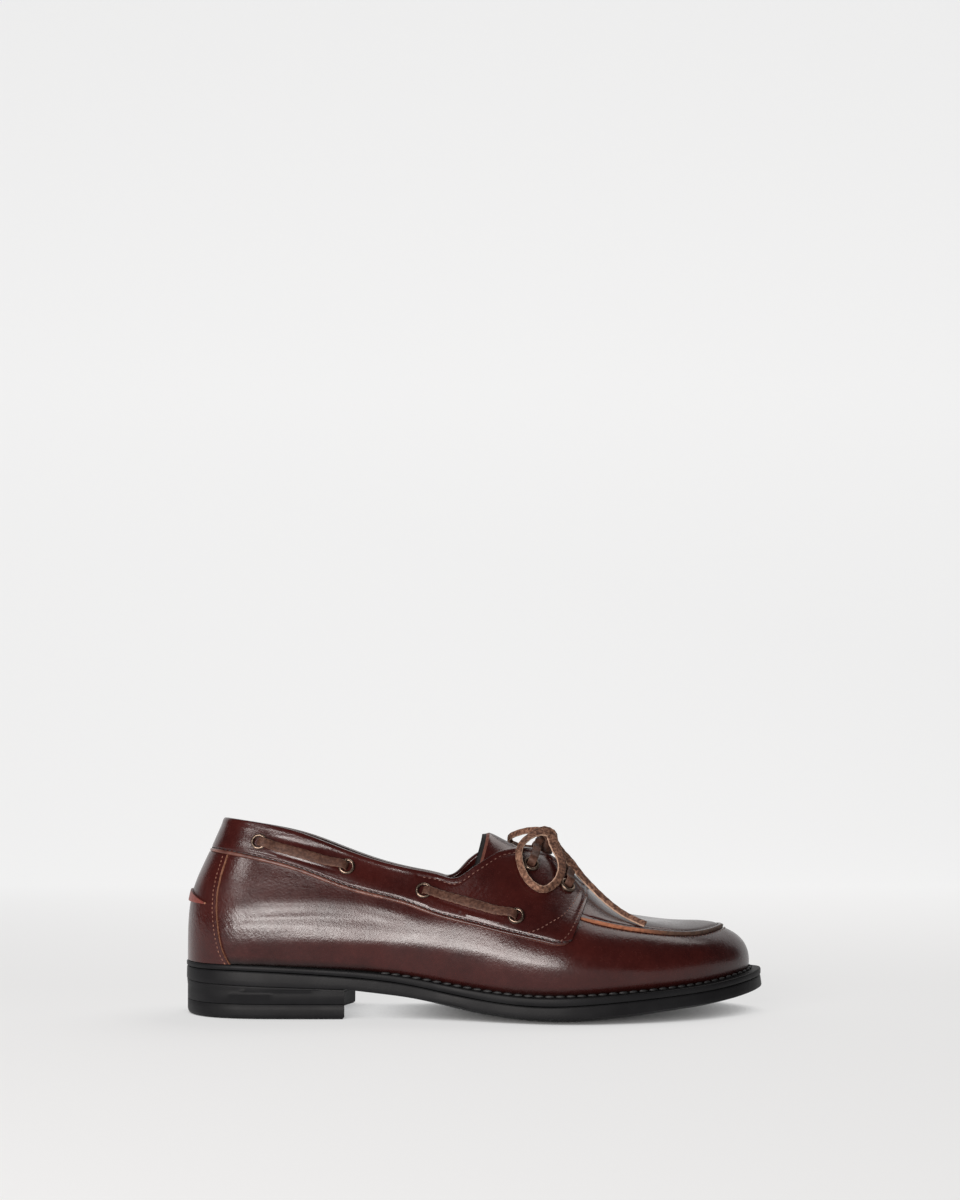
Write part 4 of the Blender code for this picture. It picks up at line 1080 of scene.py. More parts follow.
def plug_side(side):
    """Top and foot of the plug's columns on one side, from the facing to the toe, as (u, v)."""
    opening = OPENING[side]
    top = np.concatenate([even(opening[on_last(opening)[:, 0] > 51.0], 180), even(spine_line(side), 621)[1:]])
    start = from_side(side, [(49.6, 50.5)])[0, 0]
    share = np.linspace(0, 1, 800)
    followed = smoothed(top[:, 0] + (start - top[0, 0]) * (1 - share) ** 2, 60)
    foot_u = 0.5 * np.interp(share, [0, 1], [start, 0.5]) + 0.5 * followed
    return top, np.column_stack([foot_u, by_u(SEAM, foot_u)])


plug_of = {side: plug_side(side) for side in (LATERAL, MEDIAL)}
PLUG_ROWS = len(PLUG_STEPS) - 1 + PLUG_INNER
step_in, step_up = (np.array(c, float) for c in zip(*PLUG_STEPS))


def plug_at(a, b):
    """In from the cut edge, over its raised lip and the sewn groove, to the spine."""
    top, foot = ring_columns(plug_of, 0, a), ring_columns(plug_of, 1, a)
    row = b * PLUG_ROWS
    length, span = by_u(RIB_LENGTH, foot[:, 0]), top[:, 1] - foot[:, 1]
    inset = np.interp(row, np.arange(len(step_in)), step_in) / length
    first = step_in[-1] / length / span
    beyond = np.clip((row - len(step_in) + 1) / PLUG_INNER, 0, 1)
    share = np.where(beyond > 0, first + (1 - first) * beyond, inset / span)
    uv = foot + (top - foot) * share[:, None]
    lift = np.interp(row, np.arange(len(step_up)), step_up)
    flat = surface(uv)
    lift = np.where(lift > 0.9, 0.9 + (lift - 0.9) * smooth_step(52.0, 61.0, flat[:, 0]), lift)
    return surface(uv, lift + creases(flat))


plug_edge = Finish("raw_red_edge", Specular_IOR_Level=0.3)
fibres = plug_edge.noise(500, 3, 0.6)
plug_edge.colour(plug_edge.blend(
    plug_edge.ramp(plug_edge.axis(0), 0.078, 0.096),
    plug_edge.shades(fibres, (0.25, 0.13, 0.045, 0.024), (0.7, 0.34, 0.13, 0.065)),
    plug_edge.shades(fibres, (0.25, 0.022, 0.011, 0.008), (0.7, 0.10, 0.055, 0.036)),
))
plug_edge.roughness(0.6)
plug_edge.relief(plug_edge.noise(1500, 2), 0.0001)

plug = moulded("plug", PLUG_COLUMNS, PLUG_ROWS, plug_at, (leather, plug_edge),
               lambda a, b: int(b * PLUG_ROWS < 4))
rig.slot(plug, "oxblood_leather")


# ---------------------------------------------------------------- collar band
# The collar band runs round the top of the shoe and ends in front as the two eyelet facings. It is one
# strip of leather, sewn down along its lower edge and folded over the topline onto the lining.

BAND_LOW = (
    (-137.8, 83.3), (-121.3, 80.9), (-102, 76.8), (-85, 71.7), (-68.4, 65.4), (-52, 60.6),
    (-35.5, 56.5), (-24.3, 52.5), (-13, 49.1), (-2, 46.6), (11.7, 43.2), (25.3, 40.2), (34.5, 38.1),
)
FACING_FRONT = (
    (44.3, 38.1), (46.6, 39.8), (48.8, 44.2), (51.6, 49.8), (54.0, 54.8), (56.1, 59.2), (56.9, 61.8),
    (56.5, 63.6), (54.4, 66.8), (50.5, 74.0),
)
FACING_END = 7.6
BAND_THICK = 1.2
BAND_FACE = FIT_GAP + BAND_THICK
band_low_middle = spline(BAND_LOW)


def band_low(x):
    return np.where(x < -137.8, np.interp(x, [-175, -137.8], [84.0, 83.3]), band_low_middle(x))


def side_marks(side, points):
    """(u, v) of side-view points on one side, sloped down to the medial side as the edges are."""
    points = np.array(points, float)
    marks = from_side(side, points)
    for _ in range(2):
        marks = from_side(side, points - np.stack([0 * points[:, 0], drop_at(on_last(marks)[:, 1])], axis=1))
    return marks


def facing_front(side):
    """(u, v) of the facing's front edge, up to the throat."""
    corners = np.array(FACING_FRONT)
    line = side_marks(side, read_at(np.linspace(0, FACING_END, 60), range(len(corners)), corners))
    at = on_last(line)
    inside = np.abs(at[:, 1] - spine_y(at[:, 0])) < throat_half(np.minimum(at[:, 0], 57.5))
    return even(line[: np.argmax(inside) if inside.any() else len(line)], 60)


def band_side(side):
    """The three edges of the band on one side: lower edge, upper edge and front end."""
    u = np.linspace(0, 0.36, 300)
    u = u if side == LATERAL else -u
    low = np.column_stack([u, rises(u, tilted(band_low))])
    front = facing_front(side)
    ahead = side_marks(side, [(36.5, 37.6), (38.5, 37.25), (41.0, 37.2), (43.0, 37.5)])
    for marks in (front, ahead):
        marks[:, 0] -= side == MEDIAL
    low = np.concatenate([low[on_last(low)[:, 0] < 34.0], ahead, front[:1]])
    top = OPENING[side].copy()
    top[:, 0] -= top[:, 0] > 0.5
    end = np.argmin(np.sum((on_last(top) - on_last(front[-1:])) ** 2, axis=1))
    front[-1] = top[end]
    return even(low, 500), even(top[: end + 1], 500), front


band_of = {side: band_side(side) for side in (LATERAL, MEDIAL)}


def matched(side, a):
    """Shares of the way along the lower edge that go with shares along the upper one."""
    low, top, _ = band_of[side]
    at = np.linspace(0, 1, 500)
    goal = np.interp(a, at, on_last(top)[:, 0])
    nearest = np.interp(goal - 11.0 * smooth_step(5, 56, goal), on_last(low)[:, 0], at)
    near_heel, near_front = 1 - smooth_step(0.0, 0.12, a), smooth_step(0.9, 1.0, a)
    share = nearest * (1 - near_heel) + a * near_heel * 0.93
    return share * (1 - near_front) + near_front


def band_uv(side, a, b):
    """(u, v) in the band, a from the heel to the front end and b from the lower edge to the top."""
    low, top, front = band_of[side]
    at = np.linspace(0, 1, 500)
    foot, head = read(low, np.interp(a, at, matched(side, at))), read(top, a)
    flat = foot + (head - foot) * b[:, None]
    straight = low[-1] + (top[-1] - low[-1]) * b[:, None]
    return flat + (read(front, b) - straight) * smooth_step(0.72, 1.0, a)[:, None]


def front_scale(side, level):
    """Millimetres to a whole share of the band's length, read at its front end."""
    front, back = (surface(band_uv(side, 0 * level + end, level)) for end in (1.0, 0.97))
    return np.linalg.norm(front - back, axis=1) / 0.03


def cut_edges(count):
    """Shares along a piece for a number of columns, and how far each stands up from its cut edge."""
    inner = np.linspace(0, 1, count - 5)
    close = np.array([0, 0, 0.0006, 0.0022])
    share = np.concatenate([close, inner[1:-1], 1 - close[::-1]])
    fall = np.ones(len(share))
    fall[:4], fall[-4:] = (0.0, 0.55, 0.85, 0.97), (0.97, 0.85, 0.55, 0.0)
    return share, fall


band_share, band_fall = cut_edges(700)
FACE_START, PUCKER_PITCH = 3.7, 2.3
BAND_FOOT = (
    # distance up from the cut edge, height over the last: the edge, a bead and the sewn groove
    (0.0, 0.0), (-0.05, 0.7), (0.08, 1.2), (0.35, 1.5), (0.8, 1.62), (1.25, 1.5), (1.65, 1.22), (2.0, 1.02),
    (2.3, 1.02), (2.65, 1.22), (3.1, 1.42), (FACE_START, 1.5),
)
BAND_ROWS = [(0, *row) for row in BAND_FOOT] + [(1, s, 1.5) for s in np.linspace(0.03, 1, 42)]
BAND_ROWS += [(2, a, 0.0) for a in np.linspace(0, math.pi, 9)[1:]]
BAND_ROWS += [(3, d, -2.0) for d in (0.7, 1.5, 2.3, 3.0)] + [(3, 3.1, -1.75)]
band_kind, band_way, band_lift = (np.array(c, float) for c in zip(*BAND_ROWS))


def band_at(a, b):
    """Up the foot (kind 0) and the face (1), over the topline (2), and down onto the lining (3)."""
    column = np.rint(a * (len(band_share) - 1)).astype(int)
    row = np.rint(b * (len(BAND_ROWS) - 1)).astype(int)
    share, fall = band_share[column] * 2 - 1, band_fall[column]
    points = np.zeros((len(a), 3))
    for side, here in ((LATERAL, share <= 0), (MEDIAL, share > 0)):
        s, kind, way = np.abs(share[here]), band_kind[row][here], band_way[row][here]
        foot, head = band_uv(side, s, 0 * s), band_uv(side, s, 0 * s + 1)
        length = np.linalg.norm(surface(foot) - surface(head), axis=1)
        first = FACE_START / length
        up = np.select([kind == 0, kind == 1, kind == 2],
                       [way / length, first + (1 - first) * way, 1.0], 1 - way / length)
        uv, turn = band_uv(side, s, up), np.where(kind == 2, way, 0)
        height = np.where(kind == 2, -0.25 + 1.75 * np.cos(turn), band_lift[row][here])
        height = np.where(height > 0, height * fall[here], height)
        flat, below_top = surface(uv), (1 - up) * length
        level = np.clip(up, 0, 1)
        inset = (1 - s) * front_scale(side, level)
        relief = creases(flat) + 0.25 * np.exp(-((below_top - 1.2) ** 2) / 1.4)
        relief -= 0.30 * np.exp(-((below_top - 2.9) ** 2) / 0.5) * (flat[:, 0] > -30)
        pucker = 0.30 + 0.14 * np.cos(2 * math.pi * level * length / PUCKER_PITCH)
        relief += pucker * np.exp(-(((inset - 3.7) / 1.1) ** 2))
        relief += 0.22 * np.exp(-(((inset - 0.7) / 0.6) ** 2))
        upward = unit(surface(head) - surface(band_uv(side, s, 0 * s + 0.94)))
        rolled = 0.9 * np.sin(turn) * (kind == 2)
        points[here] = surface(uv, height + np.where(kind == 1, relief, 0)) + upward * rolled[:, None]
    return points


band_edge = mottled("band_edge", 0.35, (0.3, 0.055, 0.016, 0.011), (0.7, 0.14, 0.048, 0.032),
                    (500, 3, 0.6), 0.5)
# Painted highlight: the bead along the band's lower edge is coloured lighter towards the heel, in noisy patches, where
# its rolled edge catches the low light from the front left.
worn_bead = Finish("worn_bead", Specular_IOR_Level=0.4)
toward_heel = worn_bead.ramp(worn_bead.axis(0), 0.01, -0.05)
highlight_patches = worn_bead.ramp(worn_bead.noise(240, 3, 0.6), 0.35, 0.6, 0.2, 1.0)
worn_bead.colour(worn_bead.blend(toward_heel * highlight_patches, (0.036, 0.009, 0.007, 1), (0.135, 0.058, 0.044, 1)))
worn_bead.roughness(0.32)


def band_slot(a, b):
    """The cut edges all round, then the bead with its painted highlight, then the face."""
    row = b * (len(BAND_ROWS) - 1)
    return 1 if row < 2 or not 0.0028 < a < 0.9972 else 2 if row < 6 else 0


band = moulded("band", len(band_share) - 1, len(BAND_ROWS) - 1, band_at,
               (leather, band_edge, worn_bead), band_slot)
stands_for(band, "collar_band", "oxblood_leather")


# ---------------------------------------------------------------- back strap
# The back strap covers the heel seam. Its two long edges are cut and show tan, and a row of stitches
# runs just behind each of them.

STRAP_EDGE = (
    (-124.3, 83.5), (-125.0, 81.0), (-127.4, 72.5), (-128.9, 64.0), (-129.2, 55.5), (-128.5, 47.0),
    (-127.5, 39.8), (-125.8, 32.8), (-123.4, 28.0), (-122.8, 26.6),
)


def overlay(name, uv_at, base, thick, columns, rows, finishes):
    """A thin piece with cut edges that lies on the last: uv_at(a, b) gives its place."""
    (across, across_fall), (up, up_fall) = cut_edges(columns), cut_edges(rows)
    edge, foot = 2.1 / (len(across) - 1), 2.1 / (len(up) - 1)

    def place(a, b):
        i, j = np.rint(a * (len(across) - 1)).astype(int), np.rint(b * (len(up) - 1)).astype(int)
        return surface(uv_at(across[i], up[j]), base + thick * np.minimum(across_fall[i], up_fall[j]))

    return moulded(name, len(across) - 1, len(up) - 1, place, finishes,
                   lambda a, b: int(not edge < a < 1 - edge or b < foot))


strap_edge = {side: even(side_marks(side, STRAP_EDGE)[::-1], 200) - (side == MEDIAL, 0)
              for side in (LATERAL, MEDIAL)}


def strap_uv(a, b):
    left, right = read(strap_edge[LATERAL], b), read(strap_edge[MEDIAL], b)
    u = left[:, 0] + (right[:, 0] - left[:, 0]) * a
    return np.column_stack([u, rises(u, tilted(lambda x: band_low(x) - 0.25)) * b])


raw_edge = mottled("raw_tan_edge", 0.3, (0.25, 0.20, 0.075, 0.042), (0.75, 0.44, 0.21, 0.13),
                   (600, 3, 0.6), 0.7, (1500, 2, 0.0001))
back_strap = overlay("strap", strap_uv, 0.0, BAND_FACE, 90, 90, (leather, raw_edge))
stands_for(back_strap, "back_strap", "oxblood_leather")


# ---------------------------------------------------------------- heel tab
# A small leaf of leather is sewn round the middle of the back strap. Its cut rim shows tan.

TAB_HALF, TAB_HEIGHT, TAB_MIDDLE, TAB_DROOP = 23.0, 4.6, 59.9, 3.2
TAB_LIFT = BAND_FACE + FIT_GAP
TAB_THICK = 0.9
at_heel = (LAST[:, :, 0] < -100) & (np.arange(UP + 1)[None, :] / UP < 0.98)


def tab_grid():
    """(u, v) over the leaf, on a coarse grid that is read between its points."""
    share, up = np.meshgrid(np.linspace(-1, 1, 41), np.linspace(-1, 1, 5), indexing="ij")
    half = TAB_HEIGHT / 2 * (1 - share**2) + 0.4
    height = TAB_MIDDLE - TAB_DROOP * share**2 + half * up
    points = np.column_stack([(TAB_HALF * share).ravel(), height.ravel()])
    marks = found(points, [1, 2], at_heel)
    marks[:, 0] = np.where(marks[:, 0] > 0.5, marks[:, 0] - 1, marks[:, 0])
    return marks.reshape(41, 5, 2)


leaf = tab_grid()


def tab_uv(a, b):
    i, j = a * 40, b * 4
    i0, j0 = np.minimum(i.astype(int), 39), np.minimum(j.astype(int), 3)
    p, q = (i - i0)[:, None], (j - j0)[:, None]
    low = leaf[i0, j0] * (1 - p) + leaf[i0 + 1, j0] * p
    high = leaf[i0, j0 + 1] * (1 - p) + leaf[i0 + 1, j0 + 1] * p
    return low * (1 - q) + high * q


tab_red = mottled("tab_leather", 0.45, (0.3, 0.095, 0.019, 0.014), (0.7, 0.16, 0.035, 0.025),
                  (200, 4), 0.45, (900, 3, 0.00012))
heel_tab = overlay("tab", tab_uv, TAB_LIFT - 0.25, TAB_THICK + 0.25, 90, 22, (tab_red, raw_edge))
stands_for(heel_tab, "heel_tab", "oxblood_leather")


# ---------------------------------------------------------------- tongue
# The tongue is a plain tongue of leather with a cut edge and a thin black backing. It lies under the
# facings, and its hollow middle sinks below the lace.

TONGUE_HALF, TONGUE_TOP, TONGUE_SKEW, TONGUE_ROUND = 24.0, 8.2, -0.095, -0.01325
TONGUE_FRONT, TONGUE_THICK = 66.0, 1.6
TONGUE_LIFT = -(WALL + 1.3)
tongue_sink = spline(((4, 0.4), (15.5, 0.4), (24, 2.6), (34, 3.4), (46, 3.0), (57, 0.6), (TONGUE_FRONT, 0.0)))


def tongue_grid(columns=33, rows=34):
    """Points of the tongue's top face and the ways out from it, on a coarse grid."""
    y = TONGUE_HALF * np.linspace(-1, 1, columns)
    back = TONGUE_TOP + TONGUE_SKEW * y + TONGUE_ROUND * y * y
    x = back[:, None] + (TONGUE_FRONT - back)[:, None] * np.linspace(0, 1, rows)
    plan = np.column_stack([x.ravel(), np.repeat(y, rows)])
    point, normal = stood(from_above(plan), TONGUE_LIFT)
    hollow = np.maximum(1 - (plan[:, 1] / (0.75 * TONGUE_HALF)) ** 2, 0.0) ** 2
    point[:, 2] -= tongue_sink(plan[:, 0]) * hollow
    return point.reshape(columns, rows, 3), normal.reshape(columns, rows, 3)


tongue_points, tongue_normals = tongue_grid()


def on_grid(table, a, b):
    """A coarse grid, read smoothly at shares a and b of its two ways."""
    wide, long = np.array(table.shape[:2]) - 1
    i0 = np.minimum((a * wide).astype(int), wide - 1)
    j0 = np.minimum((b * long).astype(int), long - 1)
    p, q = cubic(a * wide - i0), cubic(b * long - j0)
    total = 0
    for m in range(4):
        for n in range(4):
            corner = table[np.clip(i0 + m - 1, 0, wide), np.clip(j0 + n - 1, 0, long)]
            total = total + (p[m] * q[n])[:, None] * corner
    return total


def tongue_at(a, b):
    """Over the top face, round the slanting cut edge, and back along the underside."""
    row = b * 100
    depth = np.interp(row, [0, 44, 47, 50, 53, 56, 100], [0, 0, 0.35, 0.9, 1.1, TONGUE_THICK, TONGUE_THICK])
    along = np.interp(row, [0, 44, 56, 100], [1, 0.0, 0.0, 1])
    slant = np.interp(row, [0, 43, 44, 47, 50, 53, 56, 60, 100], [0, 0, 0.25, 1.0, 1.7, 2.1, 3.4, 2.0, 0])
    point, normal = on_grid(tongue_points, a, along), on_grid(tongue_normals, a, along)
    edge = np.minimum(a, 1 - a)
    inner = (depth - TONGUE_THICK / 2) * np.where(edge < 0.004, 0.3, 1.0)
    point = point - normal * (TONGUE_THICK / 2 + inner)[:, None]
    return point + np.column_stack([-slant, 0 * slant, 0.25 * slant])


tongue = moulded("tongue_leaf", 72, 100, tongue_at, (leather, band_edge, lining),
                 lambda a, b: 0 if b < 0.44 else 1 if b < 0.50 else 2)
stands_for(tongue, "tongue", "oxblood_leather")


# ---------------------------------------------------------------- eyelets
# Twelve brass eyelets are pressed through the band, eight along the sides and four at the throat. Each
# is a rolled ring of antique brass, mottled at random.

SIDE_EYELETS = ((-108.3, 87.4), (-64.7, 75.0), (-26.1, 63.0), (19.7, 51.1))
THROAT_EYELETS = ((27.2, 75.4), (45.1, 64.7))
FLANGE_LIFT = BAND_FACE + 0.65
EYELET_SECTION = (
    (2.75, -3.5), (2.68, -0.2), (2.66, 0.35), (2.78, 0.72), (3.05, 0.92), (3.4, 0.96), (3.75, 0.8),
    (4.0, 0.5), (4.12, 0.15), (4.15, -0.3), (4.1, -0.6), (3.0, -0.6), (3.0, -3.5),
)

SIDE_WORDS = (LATERAL, "lateral"), (MEDIAL, "medial")


def lowered(side, spots):
    """Side-view points as they lie on one side."""
    return np.array(spots) - (0, MEDIAL_DROP if side == MEDIAL else 0)


EYELETS = {}
for side, word in SIDE_WORDS:
    for group, spots in (("", SIDE_EYELETS), ("throat_", THROAT_EYELETS)):
        places = zip(*stood(from_side(side, lowered(side, spots)), FLANGE_LIFT))
        EYELETS.update((f"eyelet_{group}{word}_{i}", place) for i, place in enumerate(places, start=1))

brass = Finish("antique_brass", Metallic=1.0)
worn = brass.noise(900, 4, 0.6)
brass.colour(brass.shades(worn, (0.3, 0.085, 0.060, 0.046), (0.7, 0.24, 0.175, 0.135)))
brass.roughness(brass.ramp(worn, 0.3, 0.7, 0.42, 0.28))
brass.relief(brass.noise(1600, 2), 0.00004)

for name, (point, normal) in EYELETS.items():
    bm = bmesh.new()
    verts = [bm.verts.new((r * MM, 0, z * MM)) for r, z in EYELET_SECTION]
    edges = [bm.edges.new((a, b)) for a, b in zip(verts, verts[1:] + verts[:1])]
    bmesh.ops.spin(bm, geom=edges, cent=(0, 0, 0), axis=(0, 0, 1), angle=2 * math.pi, steps=40,
                   use_merge=True)
    bmesh.ops.remove_doubles(bm, verts=bm.verts, dist=1e-6)
    turn = Vector((0, 0, 1)).rotation_difference(Vector(normal)).to_matrix().to_4x4()
    bmesh.ops.transform(bm, matrix=Matrix.Translation(Vector(point) * MM) @ turn, verts=bm.verts)
    for face in bm.faces:
        face.smooth = True
    stands_for(finished("ring_" + name[7:], bm, (brass,), 50), name, "antique_brass")


# ---------------------------------------------------------------- lace
# One flat rawhide lace runs through the side eyelets in the collar and comes out at the throat. There it
# crosses between the facings twice and is tied in a small bow.

LACE_WIDTH, LACE_THICK = 4.2, 1.6
LACE_LIFT = BAND_FACE + 0.4 + LACE_THICK / 2
LACE_EXIT = ((0.0, -1.5), (0.1, 0.6), (1.0, 2.1), (3.2, 2.65))
LACE_AROUND = 14
BOW_WIDTH = 3.4


def lace_finish(name, specular, roughness, dark, middle, light, edge):
    """Suede lace: mottled nap, and paler where its edges are cut."""
    made = Finish(name, Specular_IOR_Level=specular)
    nap = made.noise(650, 5, 0.65)
    around = made.axis(0, made.node("UVMap", {"uv_map": "grid"})) * (2 * math.pi)
    near_edge = made.node("Math", {"operation": "COSINE"}, {0: around})
    near_edge = made.node("Math", {"operation": "ABSOLUTE"}, {0: near_edge})
    face = made.shades(nap * 0.8 + made.noise(120, 3) * 0.2, (0.41, *dark), (0.51, *middle), (0.62, *light))
    made.colour(made.blend(made.ramp(near_edge + nap * 0.3 - 0.15, 0.78, 0.96), face, (*edge, 1)))
    made.roughness(roughness)
    made.relief(nap, 0.0002)
    return made


rawhide = lace_finish("rawhide", 0.25, 0.8, (0.040, 0.017, 0.011), (0.115, 0.054, 0.034),
                      (0.25, 0.135, 0.088), (0.40, 0.262, 0.19))
waxed = lace_finish("waxed_rawhide", 0.14, 0.5, (0.038, 0.016, 0.011), (0.062, 0.028, 0.019),
                    (0.092, 0.046, 0.032), (0.12, 0.064, 0.046))


def through(points, steps):
    """Smooth curve through a list of points, with a number of steps between each two."""
    p = np.array(points, float)
    knots = np.concatenate([[0], np.cumsum(np.linalg.norm(np.diff(p, axis=0), axis=1) ** 0.5)])
    q = [np.linspace(a, b, steps, endpoint=False) for a, b in zip(knots, knots[1:])]
    q = np.concatenate(q + [knots[-1:]])
    return np.column_stack([spline(np.stack([knots, column], axis=1))(q) for column in p.T])


def between(values, steps):
    """Values at the same steps as through(), straight from one to the next."""
    v = np.array(values, float)
    return read_at(np.arange((len(v) - 1) * steps + 1) / steps, range(len(v)), v)


def flat_lace(name, points, towards, steps, finish, width=((0, 1), (LACE_WIDTH, LACE_WIDTH)), thick=1.4):
    """A flat lace along a path: its mesh, and the path in metres."""
    path = through(points, steps)
    count, along = len(path), np.gradient(path, axis=0)
    wide = unit(np.cross(along, between(towards, steps)))
    deep = unit(np.cross(wide, along))
    widths = np.interp(np.linspace(0, 1, count), *width)

    def place(a, b):
        i = np.rint(b * (count + 3)).astype(int)
        inner = np.clip(i - 2, 0, count - 1)
        small = np.where((i == 0) | (i == count + 3), 0.0, np.where((i == 1) | (i == count + 2), 0.8, 1.0))
        c, s = np.cos(2 * math.pi * a), np.sin(2 * math.pi * a)
        w = np.sign(c) * np.abs(c) ** 0.6 * 0.5 * widths[inner] * small
        h = np.sign(s) * np.abs(s) ** 0.5 * 0.5 * thick * small
        rough = 1 + 0.05 * np.sin(inner * 1.7 + 3 * np.sign(c)) * np.abs(c)
        return path[inner] + wide[inner] * (w * rough)[:, None] + deep[inner] * h[:, None]

    lace = moulded(name, LACE_AROUND, count + 3, place, (finish,), sharp=60)
    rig.slot(lace, "rawhide")
    return lace, [list(p * MM) for p in path]


def out_of_eyelet(name, goal):
    """Points of a lace that leaves an eyelet towards a goal, and the way its broad side looks at each."""
    point, normal = EYELETS[name]
    along = np.array(goal) - point
    along = unit(along - normal * np.dot(along, normal))
    points = [point + along * run + normal * rise for run, rise in LACE_EXIT]
    return points, [-along, normal * 0.4 - along, normal - along * 0.5, normal]


def joined(first, middle, last):
    """A run of lace from one eyelet to another, with the points on the way between them."""
    return [[*a, *b, *c[::-1]] for a, b, c in zip(first, middle, last)]


THONG_WIDTH = ((0, 0.1, 0.25, 0.5, 0.75, 0.9, 1), (3.7, 3.8, 4.5, 5.0, 4.5, 3.8, 3.7))
for side, word in SIDE_WORDS:
    for first, part in ((0, "rear"), (2, "front")):
        start, end = lowered(side, SIDE_EYELETS[first : first + 2])
        way = np.array((0.2, 0.35, 0.5, 0.65, 0.8))[:, None]
        middle = stood(from_side(side, start + (end - start) * way), LACE_LIFT)
        start, end = (f"eyelet_{word}_{first + n}" for n in (1, 2))
        run = joined(out_of_eyelet(start, EYELETS[end][0]), middle, out_of_eyelet(end, EYELETS[start][0]))
        thong, _ = flat_lace(f"side_lace_{word}_{part}", *run, 7, waxed, THONG_WIDTH, 1.2)
        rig.replaces(thong, f"thong_{word}_{part}")

# Where the laces from the throat eyelets pass over the facings, in plan, and then the span between them.
BAR_OVER = ((46.0, 17.0), (46.6, 13.5), (46.8, 9.8))
BAR_SPAN = ((46.8, -6.0, 76.8), (46.8, 0.0, 76.6), (46.8, 6.0, 76.8))
CROSSING_OVER = ((29.6, 15.2), (30.2, 12.6))
HITCH_TURN = np.linspace(-2.2, 13.0, 20)
HITCH = [(35.8 + (1.9 + 0.07 * t) * math.cos(t), -2.4 + (2.1 + 0.07 * t) * math.sin(t), 88.2 - 0.40 * t)
         for t in HITCH_TURN]
CROSSING_SPAN = ((31.4, -9.8, 86.0), (33.0, -6.8, 88.8), *HITCH, (34.6, 4.4, 84.4), (32.2, 8.8, 86.6))
HITCH_LOOKS = [(math.cos(t), math.sin(t), 0.15) for t in HITCH_TURN]
CROSSING_LOOKS = [(0.1, -1.0, 0.4)] * 2 + HITCH_LOOKS + [(0.3, 0, 1)] * 2

for name, number, over_facing, span, looks in (
    ("bar", 2, BAR_OVER, BAR_SPAN, [(0.6, 0, 0.8)] * 3),
    ("crossing", 1, CROSSING_OVER, CROSSING_SPAN, CROSSING_LOOKS),
):
    halves = []
    for side, word in SIDE_WORDS:
        points, faces = stood(from_above(np.array(over_facing) * (1, side)), LACE_LIFT)
        out_points, out_faces = out_of_eyelet(f"eyelet_throat_{word}_{number}", points[0])
        halves.append(([*out_points, *points], [*out_faces, *faces]))
    cross, _ = flat_lace("tied_" + name, *joined(halves[0], (span, looks), halves[1]), 7, waxed)
    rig.replaces(cross, "lace_" + name)

# The bow: free lace from the knot.
LACE_LOOP_LATERAL = (
    (38.4, -5.4, 91.6), (39.1, -8.0, 89.6), (40.5, -11.9, 84.9), (42.7, -16.0, 80.1), (43.4, -20.0, 75.4),
    (41.6, -25.0, 69.8), (37.6, -29.6, 65.9), (33.0, -33.4, 64.5), (27.9, -34.0, 67.0), (23.9, -31.4, 72.0),
    (21.8, -27.0, 78.2), (21.8, -22.5, 83.8), (24.5, -17.4, 88.2), (28.9, -12.6, 91.2), (33.2, -9.2, 92.8),
    (37.0, -6.8, 92.6), (39.5, -5.4, 91.2), (40.2, -4.4, 89.4),
)
LACE_LOOP_MEDIAL = (
    (36.8, -2.6, 92.9), (35.4, 1.7, 93.2), (29.5, 5.0, 93.4), (22.0, 10.0, 91.8), (17.4, 16.5, 89.1),
    (19.4, 24.0, 86.2), (25.4, 30.6, 83.8), (32.5, 31.0, 83.2), (37.4, 23.0, 84.6), (39.2, 12.0, 87.6),
    (38.9, 1.7, 90.2), (38.3, -2.6, 91.2),
)
LACE_END_LATERAL = (
    (39.7, -4.2, 88.7), (42.9, -6.2, 83.4), (47.4, -9.2, 78.2), (52.8, -12.0, 71.4), (58.3, -15.0, 65.3),
    (64.0, -18.0, 59.6), (70.0, -22.0, 54.5), (76.5, -26.0, 50.4), (84.3, -30.0, 47.0),
)
LACE_END_MEDIAL = (
    (40.1, -0.6, 88.8), (44.0, 6.5, 83.6), (48.4, 13.5, 78.6), (52.6, 20.0, 72.8), (56.6, 25.4, 66.8),
    (60.4, 30.2, 60.8), (64.0, 34.4, 55.0),
)
EVEN_BOW = ((0, 1), (BOW_WIDTH, BOW_WIDTH))


def turned_out(points, outward):
    """The way a loop's broad side looks: away from the loop's middle, with a share of a fixed direction."""
    p = np.array(points)
    return unit(p - p.mean(axis=0)) + np.array(outward)


def free_lace(lace, path, node, far_end, lay):
    """A run of lace that stands for a node, declared as a free cord."""
    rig.replaces(lace, node)
    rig.cord(lace, exit=path[0], length=sum(math.dist(a, b) for a, b in zip(path, path[1:])),
            diameter=BOW_WIDTH * MM, far_end=far_end, stiffness="medium", lay=lay, path=path)


for name, route, looks, far_end, widths in (
    ("loop_lateral", LACE_LOOP_LATERAL, turned_out(LACE_LOOP_LATERAL, (0, -2.4, 0.3)), "knot",
     ((0, 0.1, 0.25, 0.4, 0.75, 0.86, 1), (5.4, 5.8, 4.6, 3.6, 3.5, 6.2, 4.2))),
    ("loop_medial", LACE_LOOP_MEDIAL, turned_out(LACE_LOOP_MEDIAL, (0, -2.4, 0.9)), "knot", EVEN_BOW),
    ("end_lateral", LACE_END_LATERAL, [(0.3, -0.9, 0.6)] * len(LACE_END_LATERAL), "bare",
     ((0, 0.28, 0.42, 1), (4.6, 4.6, 3.6, BOW_WIDTH))),
    ("end_medial", LACE_END_MEDIAL, [(0.5, 0.4, 0.7)] * len(LACE_END_MEDIAL), "bare", EVEN_BOW),
):
    bow, path = flat_lace("bow_" + name, route, looks, 6, rawhide, widths, 1.5)
    free_lace(bow, path, "lace_" + name, far_end, "loose")

